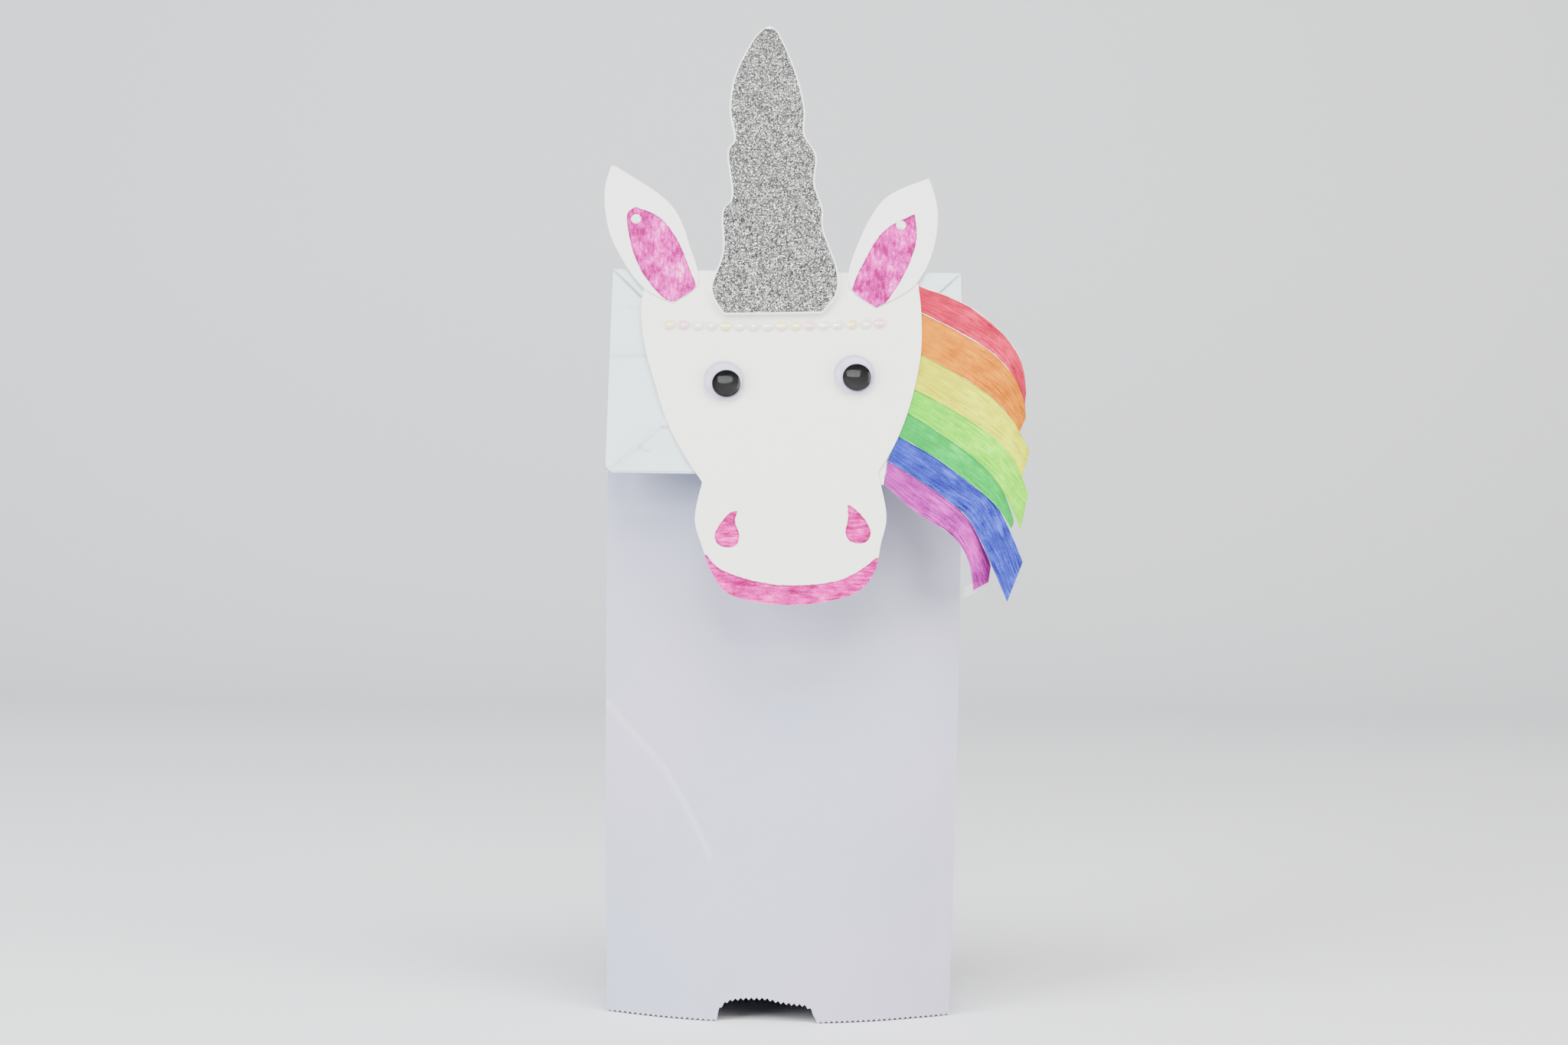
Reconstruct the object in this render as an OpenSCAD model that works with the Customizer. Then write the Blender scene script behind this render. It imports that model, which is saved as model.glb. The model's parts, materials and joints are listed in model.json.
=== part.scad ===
/* [Paper bag] */
// Width of the bag, side to side
bag_w = 130; // [100:1:160]
// Height of the top fold above the table
bag_h = 270; // [250:1:300]
// Depth of the bag's bottom rectangle, which is the mouth flap
flap_len = 80; // [70:1:84]
// Thickness that stands for one layer of paper
paper = 0.3; // [0.2:0.05:0.4]
// Lean of the closed flap away from the upright
flap_tilt = 18; // [16:1:22]

/* [Open end] */
// How far each lower edge stands from the middle, front to back
rim_half = 19; // [14:1:22]
// How far the panels bow outwards at the open end
rim_bow = 16; // [8:1:18]
// How much narrower each side is at the open end
rim_narrow = 3.5; // [0:0.5:5]
// Width of the thumb notch
notch_w = 38; // [30:1:44]
// Height of the thumb notch
notch_h = 9; // [6:0.5:12]
// Thumb notch centre, left of the middle
notch_x = 4; // [0:0.5:8]

/* [Face] */
// Thickness of the horn's foam sheet
foam = 2; // [1.5:0.1:3]
// Diameter of a googly eye
eye_d = 15.5; // [14:0.5:18]
// Diameter of the loose pupil
pupil_d = 10; // [8:0.5:10.5]
// Height of the clear dome
dome_h = 3.6; // [3:0.1:4.5]
// Diameter of a brow stone
stone_d = 4; // [3:0.1:4.6]
// Stones in the brow row
stone_count = 16; // [8:1:16]

/* [Hidden] */
$fn = 64;
gap = 0.3;
// Sets the origin under the middle of the whole puppet, mane included
shift_x = -10.2;
top_y = 6;
crease_z = bag_h - flap_len / 2;
crease_y = -1.5;
seam_x = 20;
seam_w = 12;
seam_inset = 3;
seam_glue = 0.1;
bow_power = 1.5;
// Facets across and up a panel, and up a gusset leaf
COLS = 14;
ROWS = 12;
GUSSET_ROWS = 6;
strip_inset = 1;
strip_end = 0.6;
// The panels stop this far short of the crease, where the strip folds over
crease_gap = 5;
panel_top = crease_z - crease_gap;
// Powers of the sine that square off the notch, and round the dome's shoulder
notch_power = 0.7;
dome_power = 0.7;

// Heights of the layers that are glued on the flap, counted forward from its back face
lap_d = paper;
lap_t = 0.2;
lap_inset = 1;
worn_corner = 2.5;
glue_d = lap_d + lap_t;
glue_t = 0.2;
glue_size = 68;
glue_x = -3;
head_d = glue_d + glue_t;
on_head = head_d + paper;
glitter_t = 0.25;
eye_back = 0.6;
dome_wall = 0.4;
dome_skirt = 0.8;
pupil_t = 0.8;
// A stone's girdle, its height, and its flat top as shares of its diameter
girdle_h = 0.5;
crown_h = 1;
girdle = 0.9;
stone_top = 0.45;

// Flap edge and closed mouth strip, seen from the side
edge_y = top_y - flap_len * sin(flap_tilt);
edge_z = bag_h - flap_len * cos(flap_tilt);
strip_lean = atan2(crease_y - edge_y, crease_z - edge_z);
strip_len = norm([crease_y - edge_y, crease_z - edge_z]);

// Outlines on the flap: X across, Y up the flap from the top fold
HEAD_LEFT = [[-52, -1], [-53.5, -18], [-51.5, -32.5], [-48, -44.5], [-43, -60], [-37, -72], [-29.5, -83.5]];
MUZZLE = [[-29.5, -83.5], [-32, -95], [-30, -106], [-25, -118], [-17.5, -125], [3, -128.5], [23.5, -124.5],
    [32, -117], [34.5, -106], [36.5, -95], [33.5, -79]];
HEAD_RIGHT = [[33.5, -79], [39, -69.5], [43.5, -58.5], [47, -46], [49.5, -31], [49.5, -15], [48, -1]];
EAR_L_OUT = [[-66.5, 41.5], [-68.7, 30], [-65.5, 12], [-54, -7], [-42, -14]];
EAR_L_IN = [[-42, -14], [-33, -6], [-36, 8], [-44, 26], [-66.5, 41.5]];
EAR_R_OUT = [[53, 38], [56, 24], [54, 8], [47, -6], [33, -15]];
EAR_R_IN = [[33, -15], [23, -6], [26, 10], [36, 29], [53, 38]];
HORN_RIGHT = [[-8, 101], [-4, 97.5], [2.5, 81], [6, 65.5], [6, 55], [10.5, 46], [10, 34.5], [13, 24],
    [13.5, 15], [18.5, 0], [18.5, -10], [13, -18]];
HORN_LEFT = [[-23, -19], [-28, -9], [-24, 6], [-24.5, 22], [-21, 29], [-23, 46.5], [-20.5, 53],
    [-22.5, 65.5], [-20.5, 80.5], [-13.5, 96], [-8, 101]];

// The mane's slits, from the root outwards, top to bottom
SLITS = [
    [[47.5, -5], [65.5, -12.5], [77, -21.5], [85.5, -31.5]],
    [[49.5, -16.5], [62.5, -23.5], [75.5, -32], [83, -40]],
    [[49, -32.5], [62.5, -40.5], [73.5, -48], [80.5, -54.5]],
    [[46.5, -46.5], [56.5, -52], [70.5, -61], [80.5, -69.5]],
    [[44.5, -56], [56.5, -64], [69, -73.5], [77.5, -83]],
    [[41, -65], [53.5, -72.5], [66, -82], [76, -90.5]],
    [[37, -74.5], [48, -81.5], [59, -89.5], [67.5, -98]],
    [[36, -83.5], [47.5, -94], [59.5, -102], [65.5, -110]]
];
// Each lock's cut end: its upper corner, its tip and its lower corner
LOCK_ENDS = [
    [[88.5, -40], [88.6, -44.5], [88, -49.5]],
    [[88, -49.5], [88, -55], [85.5, -60.5]],
    [[85.5, -60.5], [89, -68], [86, -78.5]],
    [[86, -78.5], [88, -85], [85, -98]],
    [[82.6, -94.5], [82.4, -96.5], [81.5, -98]],
    [[85.5, -110.5], [82.6, -117.8], [79.7, -125]],
    [[74.5, -111], [73.5, -117], [68, -120]]
];
// How far each tip bends back, and the share of its length where it starts to, clear of the flap
LOCK_CURL = [9, 7, 6, 5, 5, 6, 9];
curl_from = 0.45;
curl_power = 2;
// How far a lock's middle lifts off the flap
lock_lift = 0.4;
LOCKS = ["red", "orange", "yellow", "lime", "green", "blue", "purple"];
LOCK_COLOURS = ["#d85a60", "#e2883c", "#f3e72b", "#b9ea72", "#5cdd70", "#6078cf", "#c765b0"];
lock_steps = 10;
root_w = 12;
root_gap = 0.4;
slit_half = 0.12;

EYES = [[-22.5, -44.5], [25, -41.5]];
PUPIL_REST = [0.9, -1.4];
STONE_ENDS = [[-43, -22.5], [34.2, -21]];
stone_sag = 0.8;
EAR_STONES = [[-56.5, 19.5], [42.3, 18.2]];

SIDES = ["left", "right"];

// ---- Geometry helpers ----

function end_of(list) = list[len(list) - 1];

// Point on a Catmull-Rom span between b and c
function span(a, b, c, d, t) =
    0.5 * (2 * b + (c - a) * t + (2 * a - 5 * b + 4 * c - d) * t * t + (3 * b - a - 3 * c + d) * t * t * t);

// Smooth open curve through points, with n steps in each span
function curve(p, n = 5) = let (last = len(p) - 1)
    [for (i = [0:last - 1]) for (k = [0:n - 1])
        span(p[max(i - 1, 0)], p[i], p[i + 1], p[min(i + 2, last)], k / n)];

// Point at t from 0 to 1 along a curve through points
function along(p, t) = let (last = len(p) - 1, i = min(floor(t * last), last - 1))
    span(p[max(i - 1, 0)], p[i], p[i + 1], p[min(i + 2, last)], t * last - i);

// Half width, edge line and bow of the front panel at height z
function drop(z) = 1 - z / crease_z;
function half_w(z) = bag_w / 2 - rim_narrow * pow(max(drop(z), 0), 2);
function bow(z) = rim_bow * pow(max(drop(z), 0), bow_power);
function front_edge(z) = crease_y - (rim_half + crease_y) * drop(z);
function front_y(u, z) = front_edge(z) - bow(z) * (1 - u * u);
function back_edge(z) = top_y + (rim_half - top_y) * (1 - z / bag_h);
function back_y(u, z) = back_edge(z) + bow(z) * (1 - u * u);

// Solid sheet on a grid of front points, thickened along the vector t
module sheet(grid, t) {
    n = len(grid);
    m = len(grid[0]);
    front = [for (row = grid) for (p = row) p];
    back = [for (row = grid) for (p = row) p + t];
    size = n * m;
    function quad(a, b, c, d) = [[a, b, c], [a, c, d]];
    faces = concat(
        [for (i = [0:n - 2]) for (j = [0:m - 2]) each
            quad(i * m + j, (i + 1) * m + j, (i + 1) * m + j + 1, i * m + j + 1)],
        [for (i = [0:n - 2]) for (j = [0:m - 2]) each
            quad(size + i * m + j, size + i * m + j + 1, size + (i + 1) * m + j + 1, size + (i + 1) * m + j)],
        [for (i = [0:n - 2]) each quad(i * m, size + i * m, size + (i + 1) * m, (i + 1) * m)],
        [for (i = [0:n - 2]) each
            quad((i + 1) * m - 1, (i + 2) * m - 1, size + (i + 2) * m - 1, size + (i + 1) * m - 1)],
        [for (j = [0:m - 2]) each quad(j, j + 1, size + j + 1, size + j)],
        [for (j = [0:m - 2]) each
            quad((n - 1) * m + j, size + (n - 1) * m + j, size + (n - 1) * m + j + 1, (n - 1) * m + j + 1)]
    );
    polyhedron(points = concat(front, back), faces = faces, convexity = 6);
}

// Places children drawn in flap coordinates, depth d in front of the flap's back face
module on_flap(d = 0) {
    translate([0, top_y, bag_h]) rotate([-flap_tilt, 0, 0]) translate([0, -d, 0]) children();
}

// Flat piece on the flap from depth d, with thickness t
module card(d, t) {
    on_flap(d) rotate([90, 0, 0]) linear_extrude(t) children();
}

// ---- Bag ----

module panel(z0, z1, rows, front) {
    sheet([for (i = [0:rows]) let (z = z0 + (z1 - z0) * i / rows)
        [for (j = [0:COLS]) let (u = 2 * j / COLS - 1)
            [u * half_w(z), front ? front_y(u, z) : back_y(u, z), z]]], [0, paper, 0]);
}

module back_panel() {
    color("#d3d4e0") panel(0, bag_h, ROWS, false);
}

module back_seam_lap() {
    color("#ccced9") sheet([for (i = [0:ROWS]) let (z = seam_inset + (bag_h - 2 * seam_inset) * i / ROWS)
        [for (x = [seam_x, seam_x + seam_w / 2, seam_x + seam_w])
            [x, back_y(x / half_w(z), z) + paper + seam_glue, z]]], [0, paper, 0]);
}

module front_panel() {
    color("#d3d4e0") difference() {
        panel(0, panel_top, ROWS, true);
        translate([-notch_x, 0, 0]) rotate([90, 0, 0]) linear_extrude(bag_w)
            polygon([for (a = [0:6:180]) [notch_w / 2 * cos(a), notch_h * pow(sin(a), notch_power)]]);
    }
}

module gusset_leaf(side, front) {
    leaf = flap_len / 2;
    color("#c9cbd9") sheet([for (i = [0:GUSSET_ROWS])
        let (z = panel_top * i / GUSSET_ROWS, mid = (front_edge(z) + back_edge(z)) / 2,
             out_y = front ? front_edge(z) + paper + gap : back_edge(z) - paper - gap,
             in_x = half_w(z) - sqrt(leaf * leaf - pow(mid - out_y, 2)),
             outer = [side * half_w(z), out_y, z],
             inner = [side * in_x, front ? mid - paper : mid, z])
        side < 0 ? [outer, inner] : [inner, outer]], [0, paper, 0]);
}

// ---- Mouth ----

module mouth_strip() {
    color("#c4c6d4") translate([0, edge_y, edge_z]) rotate([-strip_lean, 0, 0])
        translate([-bag_w / 2 + strip_inset, 0, strip_inset])
            cube([bag_w - 2 * strip_inset, paper, strip_len - strip_inset - strip_end]);
}

module base_flap() {
    color("#e2e5ea") card(0, paper) difference() {
        translate([-bag_w / 2, -flap_len]) square([bag_w, flap_len - 2 * gap]);
        for (s = [-1, 1]) translate([s * bag_w / 2, -flap_len]) rotate(45) square(worn_corner, center = true);
    }
}

// One lap of the folded base: long side on the fold, ends cut at 45 degrees
module base_lap(y, dir) {
    half = bag_w / 2 - worn_corner;
    reach = flap_len / 2 - lap_inset - gap;
    card(lap_d, lap_t) polygon([[-half, y], [half, y],
        [half - reach, y + dir * reach], [reach - half, y + dir * reach]]);
}

module upper_base_lap() {
    color("#e8ebef") base_lap(-lap_inset, -1);
}

module lower_base_lap() {
    color("#dfe2e8") base_lap(lap_inset - flap_len, 1);
}

// ---- Face ----

module head_glue() {
    color("#f4f4ee") card(glue_d, glue_t) translate([glue_x, -flap_len / 2]) circle(d = glue_size);
}

module head_card() {
    color("#e8e8e2") card(head_d, paper)
        polygon(concat(curve(HEAD_LEFT), curve(MUZZLE), curve(HEAD_RIGHT), [end_of(HEAD_RIGHT)]));
}

module ear(side) {
    color("#eceae6") card(on_head, paper)
        polygon(side < 0 ? concat(curve(EAR_L_OUT), curve(EAR_L_IN))
            : concat(curve(EAR_R_OUT), curve(EAR_R_IN)));
}

module horn_outline() {
    polygon(concat(curve(HORN_RIGHT, 4), [end_of(HORN_RIGHT)], curve(HORN_LEFT, 4)));
}

module horn_foam_core() {
    color("#f2f2f2") card(on_head, foam) horn_outline();
}

module horn_glitter_face() {
    color("#b9b9b6") card(on_head + foam, glitter_t) horn_outline();
}

// Faceted stone with a flat back
module stone(p, d) {
    color("#e6e2d8") on_flap(d) translate([p[0], 0, p[1]]) rotate([90, 0, 0]) {
        cylinder(d1 = stone_d, d2 = stone_d * girdle, h = girdle_h);
        translate([0, 0, girdle_h]) cylinder(d1 = stone_d * girdle, d2 = stone_d * stone_top, h = crown_h);
    }
}

function brow_point(i) = let (t = (i - 1) / (stone_count - 1))
    STONE_ENDS[0] + (STONE_ENDS[1] - STONE_ENDS[0]) * t - [0, stone_sag * 4 * t * (1 - t)];

module at_eye(side, d) {
    e = EYES[side < 0 ? 0 : 1];
    on_flap(on_head + d) translate([e[0], 0, e[1]]) rotate([90, 0, 0]) children();
}

module eye_backing(side) {
    color("#d5d8ee") at_eye(side, 0) cylinder(d = eye_d, h = eye_back);
}

// Clear shell with a rim, hollow for the loose pupil
module eye_dome(side) {
    r = eye_d / 2;
    inner_r = r - dome_wall;
    crown = dome_h - dome_skirt;
    function arc(r, h) = [for (a = [0:10:90]) [r * pow(cos(a), dome_power), dome_skirt + h * sin(a)]];
    inner = arc(inner_r, crown - dome_wall);
    color([0.9, 0.93, 1, 0.35]) at_eye(side, eye_back) rotate_extrude()
        polygon(concat([[inner_r, 0], [r, 0]], arc(r, crown), [for (i = [len(inner) - 1:-1:0]) inner[i]]));
}

module pupil(side) {
    color("#0b0b0d") at_eye(side, eye_back + gap) translate([PUPIL_REST[0], PUPIL_REST[1], 0])
        cylinder(d = pupil_d, h = pupil_t);
}

// ---- Mane ----

// Root of the mane sheet, glued between the flap and the head card
module mane_root() {
    color("#f0efe9") card(glue_d, paper / 2) polygon(concat(
        [for (s = SLITS) s[0] - [root_gap, 0]],
        [for (i = [len(SLITS) - 1:-1:0]) SLITS[i][0] - [root_w, 0]]));
}

// Curved lock between two slits, bending back towards its tip
module mane_lock(i) {
    ends = LOCK_ENDS[i];
    upper = concat(SLITS[i], [ends[0]]);
    mid = concat((SLITS[i] + SLITS[i + 1]) / 2, [ends[1]]);
    lower = concat(SLITS[i + 1], [ends[2]]);
    color(LOCK_COLOURS[i]) on_flap(glue_d) sheet([for (s = [0:2])
        [for (k = [0:lock_steps])
            let (t = k / lock_steps, u = along(upper, t), l = along(lower, t), across = (u - l) / norm(u - l),
                 p = s == 0 ? l + across * slit_half : s == 1 ? along(mid, t) : u - across * slit_half,
                 past = max(t - curl_from, 0) / (1 - curl_from))
            [p[0], LOCK_CURL[i] * pow(past, curl_power) - lock_lift * sin(180 * t) - paper / 2, p[1]]]],
        [0, paper / 2, 0]);
}

// ---- Assembly ----

translate([shift_x, 0, 0]) {
    back_panel();
    back_seam_lap();
    front_panel();
    mouth_strip();
    base_flap();
    upper_base_lap();
    lower_base_lap();
    head_glue();
    head_card();
    horn_foam_core();
    horn_glitter_face();
    mane_root();
    for (k = [0, 1]) {
        side = 2 * k - 1;
        gusset_leaf(side, true);
        gusset_leaf(side, false);
        ear(side);
        stone(EAR_STONES[k], on_head + paper);
        eye_backing(side);
        eye_dome(side);
        pupil(side);
    }
    for (i = [1:stone_count])
        stone(brow_point(i), on_head);
    for (i = [0:len(LOCKS) - 1])
        mane_lock(i);
}
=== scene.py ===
"""White paper bag unicorn puppet: folded paper, pencilled card, glitter foam and loose-pupil eyes."""

import enum  # noqa: E402
import json  # noqa: E402
import logging  # noqa: E402
import math  # noqa: E402
from collections.abc import Callable  # noqa: E402
from dataclasses import dataclass, field  # noqa: E402

import bmesh  # noqa: E402
import bpy  # noqa: E402
import mathutils  # noqa: E402
import numpy as np  # noqa: E402
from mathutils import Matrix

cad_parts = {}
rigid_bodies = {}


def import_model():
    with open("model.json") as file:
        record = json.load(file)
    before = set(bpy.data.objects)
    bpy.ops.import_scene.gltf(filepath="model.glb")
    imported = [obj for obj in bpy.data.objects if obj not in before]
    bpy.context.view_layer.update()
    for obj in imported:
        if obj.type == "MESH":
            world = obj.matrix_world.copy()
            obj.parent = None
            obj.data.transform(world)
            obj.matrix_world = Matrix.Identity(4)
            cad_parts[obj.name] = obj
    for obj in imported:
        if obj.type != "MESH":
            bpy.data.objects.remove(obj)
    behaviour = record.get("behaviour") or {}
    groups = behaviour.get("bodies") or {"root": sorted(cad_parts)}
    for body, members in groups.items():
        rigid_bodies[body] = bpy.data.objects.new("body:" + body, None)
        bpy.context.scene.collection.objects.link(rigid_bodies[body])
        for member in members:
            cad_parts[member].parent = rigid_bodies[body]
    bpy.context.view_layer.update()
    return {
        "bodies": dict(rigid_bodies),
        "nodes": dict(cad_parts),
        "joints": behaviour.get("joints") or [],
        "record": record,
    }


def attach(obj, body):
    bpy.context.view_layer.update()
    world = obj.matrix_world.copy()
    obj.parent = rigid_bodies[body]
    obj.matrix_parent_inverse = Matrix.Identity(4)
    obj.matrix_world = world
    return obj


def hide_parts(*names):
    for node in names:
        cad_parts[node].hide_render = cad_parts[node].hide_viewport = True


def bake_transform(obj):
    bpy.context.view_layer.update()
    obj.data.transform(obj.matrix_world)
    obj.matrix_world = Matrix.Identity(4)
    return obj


LOG = logging.getLogger("puppet")
MM = 0.001
RGBA = {"data_type": "RGBA"}
MULTIPLY = {"operation": "MULTIPLY"}
MULTIPLY_ADD = {"operation": "MULTIPLY_ADD"}

Length = float | np.ndarray
Placing = Callable[[np.ndarray, np.ndarray, np.ndarray], np.ndarray]


# ---- Small tools ----


def linear(code: str) -> tuple[float, float, float, float]:
    """Turns an sRGB hex colour into linear RGBA, by the sRGB curve: a straight foot, then a power law.

    Args:
        code: The colour, as "#rrggbb".

    Returns:
        Linear red, green, blue and an alpha of 1.
    """
    values = [int(code[i : i + 2], 16) / 255 for i in (1, 3, 5)]
    red, green, blue = (v / 12.92 if v <= 0.04045 else ((v + 0.055) / 1.055) ** 2.4 for v in values)
    return (red, green, blue, 1.0)


def add(tree: bpy.types.NodeTree, kind: str, settings: dict | None = None, **inputs: object) -> bpy.types.Node:
    """Adds a node, with its settings, and its inputs set or linked.

    Args:
        tree: The node tree.
        kind: The node's type name.
        settings: Properties of the node itself.
        inputs: Socket name, with _ for a space, or sN for socket N, to a value or an output socket.

    Returns:
        The new node.
    """
    made = tree.nodes.new(kind)
    for name, value in (settings or {}).items():
        setattr(made, name, value)
    for name, value in inputs.items():
        key = int(name[1:]) if name[0] == "s" and name[1:].isdigit() else name.replace("_", " ")
        if isinstance(value, bpy.types.NodeSocket):
            tree.links.new(value, made.inputs[key])
        else:
            made.inputs[key].default_value = value
    return made


def spline(points: list, steps: int) -> np.ndarray:
    """Samples a Catmull-Rom curve, which passes through each of its points.

    Args:
        points: The points that the curve passes through.
        steps: How many samples to return, evenly spread over the spans.

    Returns:
        An array of samples by coordinates.
    """
    p = np.asarray(points, float)
    p = np.vstack([p[:1], p, p[-1:]])
    t = np.linspace(0, len(p) - 3, steps)
    i = np.minimum(t.astype(int), len(p) - 4)
    f = (t - i)[:, None]
    a, b, c, d = p[i], p[i + 1], p[i + 2], p[i + 3]
    return 0.5 * (2 * b + (c - a) * f + (2 * a - 5 * b + 4 * c - d) * f**2 + (3 * b - a - 3 * c + d) * f**3)


def ripple(x: np.ndarray, z: np.ndarray, wave: float, height: float, seed: int) -> np.ndarray:
    """Gentle unevenness: the mean of a few plane waves in seeded directions, near one wavelength.

    Args:
        x: Across, in the unit of wave.
        z: Up, in the unit of wave.
        wave: Mean wavelength.
        height: Largest rise.
        seed: Seed of the directions.

    Returns:
        The height at each point.
    """
    waves = 7
    rng = np.random.default_rng(seed)
    total = np.zeros(np.broadcast(x, z).shape)
    draws = rng.uniform(0, math.pi, waves), rng.uniform(0, 6.3, waves), rng.uniform(0.7, 1.6, waves)
    for angle, phase, scale in zip(*draws):
        total += np.sin((x * math.cos(angle) + z * math.sin(angle)) * 2 * math.pi / (wave * scale) + phase)
    return total * height / waves


def crease(x: np.ndarray, z: np.ndarray, a: tuple, b: tuple, width: float) -> np.ndarray:
    """Profile of a fold line: 1 on the segment from a to b, falling off beside it as a bell curve.

    Args:
        x: Across.
        z: Up.
        a: Where the fold starts, as x and z.
        b: Where it ends.
        width: Distance at which the bell has fallen to 1/e.

    Returns:
        The fold's strength at each point.
    """
    ax, az = b[0] - a[0], b[1] - a[1]
    t = np.clip(((x - a[0]) * ax + (z - a[1]) * az) / (ax * ax + az * az), 0, 1)
    gap = np.hypot(x - a[0] - t * ax, z - a[1] - t * az)
    return np.exp(-((gap / width) ** 2))


def outline_distance(x: np.ndarray, z: np.ndarray, outline: np.ndarray) -> np.ndarray:
    """Signed distance to a closed outline: the nearest edge's distance, negative inside by even-odd crossings.

    Args:
        x: Across.
        z: Up.
        outline: The outline's corners, as rows of x and z.

    Returns:
        The signed distance at each point.
    """
    p, q = outline, np.roll(outline, -1, axis=0)
    best = np.full(x.shape, 1e9)
    inside = np.zeros(x.shape, bool)
    for (px, pz), (qx, qz) in zip(p, q):
        dx, dz = qx - px, qz - pz
        t = np.clip(((x - px) * dx + (z - pz) * dz) / max(dx * dx + dz * dz, 1e-12), 0, 1)
        best = np.minimum(best, np.hypot(x - px - t * dx, z - pz - t * dz))
        crosses = (pz > z) != (qz > z)
        inside ^= crosses & (x < px + (z - pz) * dx / (dz if dz else 1e-12))
    return np.where(inside, -best, best)


def pinking(along: np.ndarray, pitch: float, depth: float) -> np.ndarray:
    """Sawtooth of pinking shears: a triangle wave from 0 to depth with the given pitch."""
    return depth * np.abs(2 * np.mod(along / pitch, 1) - 1)


def smooth(t: np.ndarray) -> np.ndarray:
    """Eases 0 to 1 with level ends."""
    t = np.clip(t, 0, 1)
    return t * t * (3 - 2 * t)


def quads(rows: int, cols: int, wrap: bool = False) -> np.ndarray:
    """Faces of a grid, row by row.

    Args:
        rows: The grid's rows.
        cols: The grid's columns.
        wrap: Whether the last column joins the first.

    Returns:
        Four corner numbers for each face.
    """
    i, j = np.meshgrid(np.arange(rows - 1), np.arange(cols if wrap else cols - 1), indexing="ij")
    k = (j + 1) % cols
    return np.stack([i * cols + j, i * cols + k, (i + 1) * cols + k, (i + 1) * cols + j], -1).reshape(-1, 4)


@dataclass
class Surface:
    """Points, faces and per-point values of one piece, before it becomes a mesh."""

    points: np.ndarray
    faces: np.ndarray
    slots: np.ndarray | None = None
    values: dict[str, np.ndarray] = field(default_factory=dict)
    uv: np.ndarray | None = None

    @classmethod
    def sheet(
        cls,
        front: np.ndarray,
        back: np.ndarray,
        values: dict[str, np.ndarray] | None = None,
        uv: np.ndarray | None = None,
    ) -> "Surface":
        """Closed thin solid from two matching grids: a front, a back and the cut edge between them.

        Args:
            front: Rows by columns by xyz. Seen from the front, columns run right as rows run down.
            back: The same grid on the other side.
            values: Per-point values on the grid, used on both sides.
            uv: Rows by columns by two, used on both sides.

        Returns:
            The surface, with slot 0 on the front and slot 1 elsewhere.
        """
        rows, cols = front.shape[:2]
        size = rows * cols
        face = quads(rows, cols)
        grid = np.arange(size).reshape(rows, cols)
        ring = np.concatenate([grid[0, :-1], grid[:-1, -1], grid[-1, :0:-1], grid[:0:-1, 0]])
        after = np.roll(ring, -1)
        edge = np.stack([ring, after, after + size, ring + size], -1)
        faces = np.concatenate([face[:, ::-1], face + size, edge])
        slots = np.concatenate([np.zeros(len(face), int), np.ones(len(face) + len(edge), int)])
        both = {name: np.tile(v.reshape(-1), 2) for name, v in (values or {}).items()}
        flat_uv = None if uv is None else np.tile(uv.reshape(-1, 2), (2, 1))
        return cls(np.concatenate([front.reshape(-1, 3), back.reshape(-1, 3)]), faces, slots, both, flat_uv)

    @classmethod
    def lathe(cls, profile: np.ndarray, place: Placing, turns: int, closed: bool = False) -> "Surface":
        """Solid of revolution: a profile of radius and height turned about an axis, capped by its own ends.

        Args:
            profile: Radius and height pairs, in order.
            place: Function from across, up and height arrays to points.
            turns: Steps round the axis.
            closed: Whether the profile's last point joins its first.

        Returns:
            The surface.
        """
        if closed:
            profile = np.vstack([profile, profile[:1]])
        angle = np.arange(turns) * 2 * math.pi / turns
        r, h = profile[:, :1], profile[:, 1:]
        points = place(r * np.cos(angle), r * np.sin(angle), h + 0 * angle)
        return cls(points.reshape(-1, 3), quads(len(profile), turns, wrap=True))

    def build(
        self, name: str, *materials: bpy.types.Material, crisp: float = 35, weld: float = 1e-7
    ) -> bpy.types.Object:
        """Makes the object, with its points welded, its faces outwards and its edges sharp past an angle.

        Args:
            name: The object's name.
            materials: One for each slot.
            crisp: Angle in degrees past which an edge stays sharp.
            weld: Distance under which points join, in metres.

        Returns:
            The new object, linked to the scene.
        """
        mesh = bpy.data.meshes.new(name)
        mesh.from_pydata(self.points.tolist(), [], self.faces.tolist())
        if self.slots is not None:
            mesh.polygons.foreach_set("material_index", self.slots.astype(np.int32))
        for key, value in self.values.items():
            mesh.attributes.new(key, "FLOAT", "POINT").data.foreach_set("value", value.astype(np.float32))
        if self.uv is not None:
            corners = np.empty(len(mesh.loops), np.int32)
            mesh.loops.foreach_get("vertex_index", corners)
            layer = mesh.uv_layers.new(name="cut")
            layer.data.foreach_set("uv", self.uv[corners].astype(np.float32).reshape(-1))
        work = bmesh.new()
        work.from_mesh(mesh)
        bmesh.ops.remove_doubles(work, verts=work.verts, dist=weld)
        bmesh.ops.dissolve_degenerate(work, edges=work.edges, dist=weld)
        bmesh.ops.recalc_face_normals(work, faces=work.faces)
        work.to_mesh(mesh)
        work.free()
        for material in materials:
            mesh.materials.append(material)
        mesh.shade_smooth()
        mesh.set_sharp_from_angle(angle=math.radians(crisp))
        made = bpy.data.objects.new(name, mesh)
        bpy.context.scene.collection.objects.link(made)
        return made


def ruled(left: np.ndarray, right: np.ndarray, cols: int) -> np.ndarray:
    """Grid of straight rows between two curves of as many points: rows by cols by coordinates."""
    s = np.linspace(0, 1, cols)[None, :, None]
    return left[:, None, :] * (1 - s) + right[:, None, :] * s


def stand_in(piece: bpy.types.Object, node: str, body: str) -> bpy.types.Object:
    """Puts a finished piece in a CAD node's place.

    Args:
        piece: The piece.
        node: The CAD node that it replaces.
        body: The body that it rides on.

    Returns:
        The piece.
    """
    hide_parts(node)
    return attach(piece, body)


# ---- Finishes ----


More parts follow.
